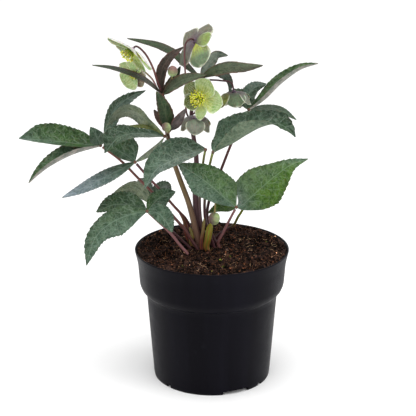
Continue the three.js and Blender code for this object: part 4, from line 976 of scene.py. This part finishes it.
# ---- Bracts ---------------------------------------------------------------------------------------
# Where a flowering stem branches it carries a ring of narrow, pointed bracts: small leaves with few teeth,
# brown-green flushed with purple, and redder on their edges and undersides.
UMBER, PLUM, BRONZE, FOREST = (72, 74, 58), (80, 60, 60), (86, 98, 78), (56, 78, 52)
MAUVE, SOOT, RIM = (114, 100, 108), (60, 52, 48), (128, 62, 60)
BRACTS = {
    "bracts_left": ((-54, 136, 4), [
        ribbed([(-43, 146, 13), (-30, 154, 18), (-16, 157.5, 21), (-2, 160, 22)], (7, -8), (6, 9),
               (UMBER, BRONZE, BRONZE, BRONZE), MAUVE),
        ribbed([(-74, 153, 8), (-92, 161.5, 10), (-116, 168.5, 12), (-139, 171.5, 12)], (3, 9), (3, -9),
               (MAUVE, UMBER, FOREST, SOOT, TEAL, FOREST), MAUVE),
        ribbed([(-57, 151, 2), (-55, 167, 2), (-46, 181, 0), (-29, 193.5, -4)], (6, -4), (6, 6),
               (PLUM, SOOT, SOOT, PLUM), MAUVE),
        ribbed([(-46, 146, -13), (-39, 158, -18), (-33, 170, -21)], (6, 0), (6, 0), DEEP, MAUVE),
    ]),
    "bracts_top": ((-9, 156, -2), [
        ribbed([(5, 164, 4), (24, 169.5, 5), (45, 169.5, 3), (66, 171, -1)], (6, -10), (8, 10),
               (BRONZE, BRONZE, BRONZE, UMBER), MAUVE),
        ribbed([(-24, 170, -13), (-39, 185, -22), (-58, 195, -28), (-78, 200, -32), (-97, 203.5, -34)],
               (5, 8), (4, -8), (FOREST, UMBER, FOREST, FOREST), MAUVE),
        ribbed([(0, 171, -16), (10, 184, -24), (24, 183, -32)], (6, 3), (7, -4), FROST, ASH),
        ribbed([(0, 164, -16), (14, 163, -32), (26, 152, -44), (26, 137, -52)], (6, 0), (6, 0), STEEL,
               ASH),
    ]),
    "bracts_middle": ((-46, 93, 14), [
        ribbed([(-49, 105, 18), (-52, 118, 20), (-57, 130, 20), (-62, 140, 16)], (9, -3), (9, -3), FOREST,
               SAGE, belly=0.35),
        ribbed([(-54, 103, 10), (-60, 110, 8), (-65, 118, 5)], (5, 3), (6, -3), PLUM, SAGE),
        ribbed([(-38, 101, 20), (-32, 110, 24), (-27, 119, 25)], (6, 6), (5, -3), MAUVE, MAUVE),
    ]),
}
bract_finishes = [leaf_skin("bract top", linear(148, 138, 116), 0.32, 0.45, 0.18),
                  leaf_skin("bract underside", linear(156, 140, 132), 0.35, 0.5, 0.18)]
for name, (junction, leaflets) in BRACTS.items():
    make_leaf(name, junction, leaflets, bract_finishes, "bract", ball=2.0, rim=RIM, plain=True, teeth=8,
              tooth=0.8, thick=0.45)

# ---- Flowers --------------------------------------------------------------------------------------
# A nodding cup of five broad, overlapping sepals on a small green receptacle: light green inside, yellower at
# the base and paler at the rim, flushed grey-purple outside. In it stand a ring of short green nectaries,
# a brush of yellow stamens and a few carpels.
# Each flower: its receptacle's place, the way it faces in X, Y and Z, its sepals' length, the angle between
# each sepal's tip and the facing, how far round the first sepal is turned, half a sepal's width as a share of
# its length, and for each sepal its tones: outside at the base and on the blade, then inside in the same way.
SEA, LILAC, MIST, PEAR = (136, 158, 118), (160, 146, 158), (120, 130, 112), (162, 188, 124)
DOVE, LEMON, SHADOW, FROSTED = (108, 114, 92), (206, 216, 76), (92, 72, 86), (212, 212, 208)
UMBER_GREEN, GOLD, CREAM = (112, 100, 84), (216, 218, 64), (240, 244, 220)
# The darkest of these olives is painted shade, for the inside of a sepal that is turned away into shadow.
OLIVINE, FERNY, SHADED_OLIVE = (138, 154, 60), (102, 124, 66), (76, 98, 14)
HEATHER, MEADOW, WILLOW = (94, 78, 92), (136, 164, 84), (104, 132, 96)
FLOWERS = {
    # Its third sepal's inside is dark olive: painted shade, as that sepal turns edge-on at the left.
    "flower_front": ((-8.5, 132, 12), (-0.33, -0.93, 0.12), 27, (58, 46, 27, 40, 68), -27, 0.5,
        [(LILAC, SEA, GOLD, PEAR), (SHADOW, LILAC, OLIVINE, FERNY), (SHADOW, LILAC, SHADED_OLIVE, SHADED_OLIVE),
         (SEA, SEA, GOLD, PEAR), (SEA, SEA, GOLD, PEAR)]),
    "flower_top": ((-15.4, 200.5, -2), (0.65, 0.5, -0.57), 29, (58, 80, 62, 55, 74), -5, 0.5,
        [(HEATHER, DOVE, GOLD, PEAR), (SHADOW, MEADOW, GOLD, PEAR), (LEMON, WILLOW, GOLD, PEAR),
         (SHADOW, MIST, GOLD, PEAR), (SHADOW, DOVE, GOLD, PEAR)]),
    "flower_left": ((-91, 190, 26), (-0.62, -0.4, -0.68), 30, (58, 66, 76, 64, 62), 20, 0.46,
        [(LILAC, FROSTED, OLIVINE, FERNY), (LILAC, FROSTED, FERNY, FERNY), (LILAC, FROSTED, GOLD, MEADOW),
         (FROSTED, FROSTED, GOLD, PEAR), (FROSTED, FROSTED, GOLD, SEA)]),
    "flower_left_back": ((-86, 162, -21), (-0.5, -0.75, -0.3), 22, (60, 60, 60, 60, 60), -14, 0.5,
        [(SEA, SEA, PEAR, PEAR), (SEA, SEA, PEAR, PEAR), (MIST, SEA, PEAR, PEAR),
         (BRONZE, UMBER_GREEN, BRONZE, UMBER_GREEN), (BRONZE, UMBER_GREEN, BRONZE, UMBER_GREEN)]),
    "flower_right_back": ((31, 139, -15), (0.1, -0.12, -0.95), 28, (0, 0, 0, 0, 0), 36, 0.47,
        [(HEATHER, WILLOW, PEAR, SEA), (SHADOW, OLIVINE, PEAR, SEA), (SHADOW, MIST, PEAR, SEA),
         (SHADOW, DOVE, PEAR, SEA), (SHADOW, MIST, PEAR, SEA)]),
    "flower_middle": ((-14, 109, 9), (-0.05, 0.05, -0.99), 27, (-4, -4, -4, -4, -4), 12, 0.44,
        [(LILAC, MIST, PEAR, SEA), (LILAC, MIST, PEAR, SEA), (HEATHER, DOVE, PEAR, SEA),
         (WILLOW, MIST, PEAR, SEA), (HEATHER, DOVE, PEAR, SEA)]),
}
# Sepals that grew longer or narrower than their flower's others: their length and width as shares of it.
SEPAL_SIZES = {
    "flower_front": {0: (1.02, 1.06), 1: (0.9, 0.86), 2: (0.84, 0.8), 3: (1.0, 0.55), 4: (1.1, 1.06)},
    "flower_top": {0: (0.96, 1.0), 1: (0.82, 0.7), 2: (1.2, 1.1), 3: (1.24, 0.9), 4: (1.0, 1.0)},
    "flower_left": {0: (1.05, 1.0), 1: (0.9, 0.9), 2: (1.24, 0.86), 3: (1.16, 0.9), 4: (0.62, 1.1)},
    "flower_left_back": {2: (1.1, 1.26), 3: (0.78, 0.84), 4: (0.78, 0.84)},
}
SEPAL_LAYERS = (0, 1.9, 0, 1.9, 0.95)  # how far each sepal lies outside the innermost ones
SEPAL_START = 94  # degrees from the facing at which a sepal leaves the receptacle
SEPAL_THICK = 0.45
SEPAL_ROWS, SEPAL_COLUMNS = 34, 27
SEPAL_ROUND = 0.56  # the share of its length past which a sepal rounds off
CUP = 0.28  # how far a sepal's sides lift, as a share of half its width
RECEPTACLE = 3.0
HEART_FOOT = RECEPTACLE + 0.8  # where stamens and carpels stand, in front of the receptacle's middle
# How many stamens each flower has, and how far they have grown.
STAMENS = {"flower_front": (60, 1.0), "flower_left": (26, 0.9), "flower_left_back": (14, 0.45)}
OTHER_STAMENS = (30, 0.9)
NECTARIES, CARPELS = 11, 5
# The anthers take these tones in turn: yellows of their own, and also painted light, as the palest stand for
# highlights on the brush and the olive one for the shade in it.
ANTHERS = ((255, 255, 150), (232, 236, 50), (246, 250, 80), (180, 184, 20), (252, 254, 116))
FILAMENTS = ((222, 226, 90), (236, 240, 168), (176, 186, 44))
# The floor of the heart, among the stamens' feet, is dark olive: painted shade deep in the brush.
NECTARY, CARPEL, SHADED_HEART_FLOOR = (132, 156, 34), (150, 168, 74), (96, 108, 26)
GOLDEN_TURN = np.pi * (3 - np.sqrt(5))


def turn_matrix(angle):
    """A turn about the third axis."""
    c, s = np.cos(angle), np.sin(angle)
    return np.array([[c, -s, 0], [s, c, 0], [0, 0, 1]])


def flower_frame(facing, turn):
    """The flower's three directions as the columns of a matrix, turned round the way it faces."""
    z = unit(np.array(facing))
    x = unit(np.cross([0, 0, 1], z))
    return np.stack([x, np.cross(z, x), z], 1) @ turn_matrix(np.radians(turn))


def sepal(number, length, open_, wide, seed, size=(1.0, 1.0)):
    """A cupped sepal's two faces in the flower's frame. Down its middle it follows a curve that leaves
    sideways and bends to face forward; its width is a raised sine that rounds off to a small point; its sides
    lift with the square of the way across, and its rim waves a little."""
    length, wide = length * size[0], wide * size[1] / size[0]
    steps = 3 if open_ < 30 else 4
    t = np.arange(steps + 1) / steps
    lean = np.radians(SEPAL_START + (open_ - SEPAL_START) * np.sqrt(t))
    layer, behind = SEPAL_LAYERS[number], np.radians(open_)
    start = np.array([0.5 + layer * np.cos(behind), 1.2 - layer * np.sin(behind)])
    stride = length / steps * np.stack([np.sin(lean), np.cos(lean)], 1)[:-1]
    bends = start + np.concatenate([[[0, 0]], np.cumsum(stride, 0)])
    share = np.linspace(0, 1, SEPAL_ROWS)[:, None]
    spine = curve(bends, share[:, 0])
    slope = unit(np.gradient(spine, axis=0))
    half = length * wide * np.sin(np.pi * (0.07 + 0.68 * share)) ** 0.85
    past = np.clip(share - SEPAL_ROUND, 0, 1) / (1 - SEPAL_ROUND)
    half *= np.sqrt(np.clip(1 - past**2, 0, 1)) * 0.98 + 0.02
    s = np.linspace(-1, 1, SEPAL_COLUMNS)
    wave = 0.5 * np.sin(s * 5 + seed) * share**2 + 0.35 * lumps(share * 40, s * 22 + 60, 7, seed)
    lift = CUP * half * s**2 + wave
    surface = np.stack([spine[:, :1] - lift * slope[:, 1:], half * s, spine[:, 1:] + lift * slope[:, :1]], -1)
    ridge = 0.07 * np.sin((s * 7.5 + 2.2 * s * share) * np.pi) * np.sin(np.pi * share)
    surface = surface + square_to(surface) * ridge[..., None]
    thick = 0.5 * SEPAL_THICK * np.sqrt(np.clip(1 - s**4, 0.1, 1))[:, None]
    normal = square_to(surface) * thick
    uv = np.stack(np.broadcast_arrays(s * 0.5 + 0.5, share), -1)
    spin = turn_matrix(2 * np.pi * number / 5 + np.pi / 2)
    return np.stack([surface + normal, surface - normal]) @ spin.T, uv


def sepal_skin(name, vein, strength, shade):
    """Sepal tissue in its own tone: thin and satin. Fine veins fan out from the base and fork into a net, and
    between them the tone is clouded by `shade`."""
    finish = Finish(name, 0.5, Specular_IOR_Level=0.2, Subsurface_Weight=0.1, Subsurface_Scale=0.003)
    maths = finish.maths
    grid = finish.uv_place()
    across = finish.node("SeparateXYZ", "X", {"Vector": grid})
    wobble = maths("MULTIPLY", maths("SUBTRACT", finish.noise(grid, 9, 3), 0.5), 0.12)
    fan = maths("PINGPONG", maths("MULTIPLY", maths("ADD", across, wobble), 9), 0.5)
    veins = maths("MAXIMUM", finish.band(fan, 0.03, 0.17, 1, 0),
                  finish.band(finish.cell_border(grid, 11.0), 0.02, 0.12, 0.6, 0))
    cloud = finish.noise(finish.place(), 210, 5, 0.65)
    own = finish.own_tone()
    tone = finish.mix(finish.band(cloud, 0.42, 0.68), own, finish.tinted(own, shade))
    finish.colour(finish.mix(maths("MULTIPLY", veins, strength), tone, vein))
    finish.bump(maths("SUBTRACT", finish.noise(grid, 30, 3), veins), 0.0002)
    return finish.material


def sepal_tones(base, blade_tone, rows, columns):
    """Vertex tones of one face: from the base's to the blade's over 0.62 of it, and cream at its edge."""
    base, blade_tone, rim = light_of(base, blade_tone, CREAM)
    along, across = np.linspace(0, 1, rows)[:, None, None], np.abs(np.linspace(-1, 1, columns))[None, :, None]
    sides = np.clip(across * 6 - 5, 0, 1) * np.clip(along * 3, 0, 1)
    edge = 0.85 * np.maximum(np.clip(along * 12 - 11, 0, 1), sides)
    return blend(blend(base, blade_tone, np.clip(along / 0.62, 0, 1)), rim, edge)


def receptacle_ball(radius=RECEPTACLE):
    """The green button that holds the sepals: a ball a little narrower than it is long."""
    return radius * ball_grid(11, 16)[0] * [0.95, 0.95, 1.0]


def make_sepals(name, place, facing, length, opens, turn, wide, tones):
    """One piece for a flower's five sepals and the receptacle that holds them."""
    parts = []
    for number, tone in enumerate(tones):
        size = SEPAL_SIZES.get(name, {}).get(number, (1.0, 1.0))
        places, uv = sepal(number, length, opens[number], wide, number * 3 + len(name), size)
        both = np.stack([sepal_tones(*tone[k:k + 2], *places.shape[1:3]) for k in (0, 2)])
        parts.append(sheet_part(places, uv, both))
    parts.append(ball_part(receptacle_ball(), 11, [0.5, 0.1], tones[0][0], 0))
    points, faces, uv, tone, finish_of = joined(parts)
    make_piece(name + "_sepals", points @ flower_frame(facing, turn).T + seen(place), faces,
               [sepal_outside, sepal_inside], [name + "_sepals"], uv, tone, finish_of)


def heart_tissue():
    """Stamens, nectaries and carpels: soft and matt, each in its own tone, slightly grainy with pollen."""
    finish = Finish("flower heart", 0.65, Specular_IOR_Level=0.3, Subsurface_Weight=0.15,
                    Subsurface_Scale=SUBSURFACE)
    grain = finish.noise(finish.place(), 1500, 3, 0.6)
    own = finish.own_tone()
    finish.colour(finish.mix(finish.band(grain, 0.35, 0.65), finish.tinted(own, (0.7, 0.68, 0.6, 1)), own))
    finish.bump(grain, 0.0002)
    return finish.material


def threads(foot, tip, sag, radii, tones, sides=6, steps=7):
    """Many tapered tubes as one part, from foot to tip, each bowed by `sag` with a parabola. They take the
    given tones in turn."""
    t = np.linspace(0, 1, steps)[None, :, None]
    middle = foot[:, None] * (1 - t) + tip[:, None] * t + sag[:, None] * (4 * t * (1 - t))
    flow = unit(np.gradient(middle, axis=1))
    right = unit(np.cross(flow, [0.31, 0.94, 0.13]))
    front = np.cross(flow, right)
    angle = round_turns(sides)
    reach = np.interp(t[0, :, 0], np.linspace(0, 1, len(radii)), radii)[None, :, None, None]
    ring = np.cos(angle)[:, None] * right[:, :, None] + np.sin(angle)[:, None] * front[:, :, None]
    placed = (middle[:, :, None] + reach * ring).reshape(len(foot), -1, 3)
    own_tones = light_of(*tones)[np.arange(len(foot)) % len(tones)]
    return *many(grid_faces(steps, sides, closed=True), placed), np.repeat(own_tones, steps * sides, 0)


def thread_ring(count, foot, tip, radii, tone, steps=7):
    """A ring of threads that bow outwards; foot and tip are given as the distance from the axis and the
    height over the foot of the heart."""
    angle = np.arange(count) * 2 * np.pi / count
    c, s = np.cos(angle), np.sin(angle)
    ends = [np.stack([c * away, s * away, np.full(count, HEART_FOOT + high)], 1)
            for away, high in (foot, tip)]
    return threads(*ends, np.stack([c, s, 0 * c], 1) * 0.7, radii, [tone], 6, steps)


def heart(seed, stamens, ripe):
    """A golden-angle spiral of stamens that spread and bow outwards, each ending in an oval anther; a ring
    of nectaries round their feet; and carpels that stand together in the middle. `ripe` scales how far the
    stamens have grown. Returns points, faces and tones."""
    draw = np.random.default_rng(seed)
    k = np.arange(stamens)
    turn, spread = k * GOLDEN_TURN, np.sqrt((k + 2.5) / (stamens + 2.5))
    c, s = np.cos(turn), np.sin(turn)
    reach = 10.2 * ripe * spread * draw.uniform(0.85, 1.08, stamens)
    tall = HEART_FOOT + ripe * (11.5 - 4.4 * spread**1.5) * draw.uniform(0.88, 1.06, stamens)
    foot = np.stack([c * spread * 2.3, s * spread * 2.3, np.full(stamens, HEART_FOOT - 0.6)], 1)
    tip = np.stack([c * reach, s * reach, tall], 1)
    sag = np.stack([c, s, np.full(stamens, 0.4)], 1) * 0.5
    lean = unit(tip - foot) + draw.normal(0, 0.35, tip.shape)
    floor_points, floor_faces, _, floor_tones, _ = ball_part(receptacle_ball(2.6), 11, [0, 0], SHADED_HEART_FLOOR, 0)
    return joined([
        threads(foot, tip, sag, (0.27, 0.22, 0.19), FILAMENTS, 5),
        threads(tip - lean * 0.9, tip + lean * 0.9, lean * 0, (0.35, 0.9, 1.0, 0.85, 0.35), ANTHERS, 6, 6),
        thread_ring(NECTARIES, (2.6, -1.2), (5.4, 2.2), (0.5, 0.85, 0.95, 0.7), NECTARY),
        thread_ring(CARPELS, (0.9, -1), (1.9, 9.5), (0.7, 1.05, 0.6, 0.22, 0.2), CARPEL, 10),
        (floor_points * [1, 1, 0.5] + [0, 0, HEART_FOOT - 0.2], floor_faces, floor_tones)])


sepal_inside = sepal_skin("sepal inside", linear(228, 234, 200), 0.4, (0.56, 0.68, 0.46, 1))
sepal_outside = sepal_skin("sepal outside", linear(112, 88, 96), 0.35, (0.62, 0.6, 0.6, 1))
heart_finish = heart_tissue()
for number, (name, (place, facing, length, opens, turn, wide, tones)) in enumerate(FLOWERS.items()):
    make_sepals(name, place, facing, length, opens, turn, wide, tones)
    points, faces, tone = heart(number + 1, *STAMENS.get(name, OTHER_STAMENS))
    make_piece(name + "_heart", points @ flower_frame(facing, turn).T + seen(place), faces, [heart_finish],
               [name + "_stamens"], tone=tone)

# ---- Buds -----------------------------------------------------------------------------------------
# Unopened flowers: an egg of five sepals folded over each other, green with a purple flush, on its own stalk.
# Each bud: its place, radius, axis, its stalk's places, how far up them the stalk starts, the side that is
# flushed, and its two tones.
PINK = (138, 102, 96)
BUD_RINGS, BUD_SIDES = 40, 80
BUD_STALK = (1.3, 1.1)  # the radii of its stalk at the foot and at the bud
FOLDS, FOLD_DEPTH = 5, 0.07  # how many steps it has, and how deep they are as a share of its radius
FOLD_BACK = 0.9  # the share of the way from step to step over which it swells
BUDS = {
    "bud_middle": ((-50, 97, 27), 5.6, (-0.3, -0.6, 0.7), [(-46, 93, 13), (-47, 91, 20), (-50, 97, 27)],
        3.5, (-1, 0, 0.2), (DUSK, PEAR)),
    "bud_left": ((-42.5, 164, 4), 6.2, (-0.1, -0.3, 0.95), [(-54, 136, 4), (-49, 145, -4), (-44, 154, -2),
        (-42.5, 164, 4)], 6, (0.3, 0, 1), (PINK, PEAR)),
    "bud_low": ((7.5, -12.5, 26), 7.2, (-0.1, -0.4, -0.9), [(-14, 46, -6), (-6, 50, -5), (4, 47, 0),
        (9, 38, 11), (10, 23, 22), (9, 9, 26), (7.5, -12.5, 26)], 3.8, (-1, 0, 0), (DUSK, PEAR)),
}


def folded_egg(radius):
    """An egg a little longer than wide whose radius steps up five times round, as one sepal overlaps the
    next, each step slanting towards the tip. Returns its points and how far down it each one is."""
    _, down, around = ball_grid(BUD_RINGS, BUD_SIDES)
    fold = (around / (2 * np.pi) * FOLDS + down * 0.35) % 1
    lap = (1 - np.minimum(fold / FOLD_BACK, (1 - fold) / (1 - FOLD_BACK))) * FOLD_DEPTH * np.sin(down) ** 0.6
    reach = radius * (0.985 - lap)
    egg = np.stack([reach * np.sin(down) * np.cos(around), reach * np.sin(down) * np.sin(around),
                    reach * np.cos(down) * (1.1 + 0.06 * np.cos(down) ** 9)], -1)
    return egg.reshape(-1, 3), (down / np.pi).ravel()


for name, (place, radius, axis, run, start, flushed, tones) in BUDS.items():
    egg, down = folded_egg(radius)
    egg = egg @ flower_frame(axis, 0).T + seen(place)
    egg_faces = grid_faces(BUD_RINGS, BUD_SIDES, closed=True)[:, ::-1].tolist()
    path = path_between(seen(run), start, 0, SHORT_RINGS)
    stalk, stalk_faces, _ = tube(path, np.linspace(*BUD_STALK, SHORT_RINGS))
    faces = egg_faces + [[corner + len(egg) for corner in face] for face in stalk_faces]
    toward = (egg - seen(place)) @ np.array(flushed) / radius
    flush = 1 / (1 + np.exp(-3.5 * toward))[:, None]
    flush_tone, own_tone = light_of(*tones)
    stalk_tone = np.tile(light_of(OLIVE), (len(stalk), 1))
    tone = np.concatenate([blend(own_tone, flush_tone, flush), stalk_tone])
    uv = np.concatenate([np.stack([np.full_like(down, 0.32), 1 - down], 1), np.full((len(stalk), 2), 0.3)])
    make_piece(name, np.concatenate([egg, stalk]), faces, [sepal_outside], [name], uv=uv, tone=tone)

# ---- Floor, light and camera ----------------------------------------------------------------------
# A pale, seamless floor, one broad soft light above and in front, and gentle light from both sides.
FLOOR = 6  # metres from its middle to its edges
OVERHEAD_WATTS, SIDE_WATTS, SKY = 20, 4.5, 1.06
LENS, FILM = 110, 36  # the camera's lens and the width of its picture, in millimetres

floor_mesh = bpy.data.meshes.new("floor")
floor_corners = [(-FLOOR, -FLOOR, 0), (FLOOR, -FLOOR, 0), (FLOOR, FLOOR, 0), (-FLOOR, FLOOR, 0)]
floor_mesh.from_pydata(floor_corners, [], [(0, 1, 2, 3)])
floor = bpy.data.objects.new("floor", floor_mesh)
bpy.context.scene.collection.objects.link(floor)
paper = Finish("white paper sweep", 0.85, Specular_IOR_Level=0.1)
paper.colour(paper.mix(paper.noise(paper.place(), 3, 2), linear(246, 246, 246), linear(250, 250, 250)))
floor_mesh.materials.append(paper.material)


def soft_light(name, place, aim, size, power):
    """A square, white area light at `place` that faces `aim`; places in metres, power in watts."""
    lamp = bpy.data.lights.new(name, "AREA")
    lamp.size, lamp.energy = size, power
    holder = bpy.data.objects.new(name, lamp)
    bpy.context.scene.collection.objects.link(holder)
    holder.location = place
    x, y, z = np.array(place, float) - np.array(aim, float)
    holder.rotation_euler = (np.arctan2(np.hypot(x, y), z), 0, np.arctan2(x, -y))


soft_light("overhead softbox", (0.1, -0.4, 2.2), (0, 0, 0.25), 1.3, OVERHEAD_WATTS)
soft_light("left softbox", (-1.9, -0.6, 1.0), (0, 0, 0.2), 0.9, SIDE_WATTS)
soft_light("right softbox", (1.9, -0.8, 1.0), (0, 0, 0.25), 0.9, SIDE_WATTS)
world = bpy.data.worlds.new("studio")
world.use_nodes = True
world.node_tree.nodes["Background"].inputs["Color"].default_value = (1, 1, 1, 1)
world.node_tree.nodes["Background"].inputs["Strength"].default_value = SKY
bpy.context.scene.world = world
bpy.context.scene.view_settings.view_transform = "Standard"

camera_data = bpy.data.cameras.new("camera")
camera_data.lens, camera_data.sensor_width = LENS, FILM
camera = bpy.data.objects.new("camera", camera_data)
camera.location = EYE * MM
camera.rotation_euler = (np.pi / 2 - LOOK_DOWN, 0, 0)
bpy.context.scene.collection.objects.link(camera)
bpy.context.scene.camera = camera
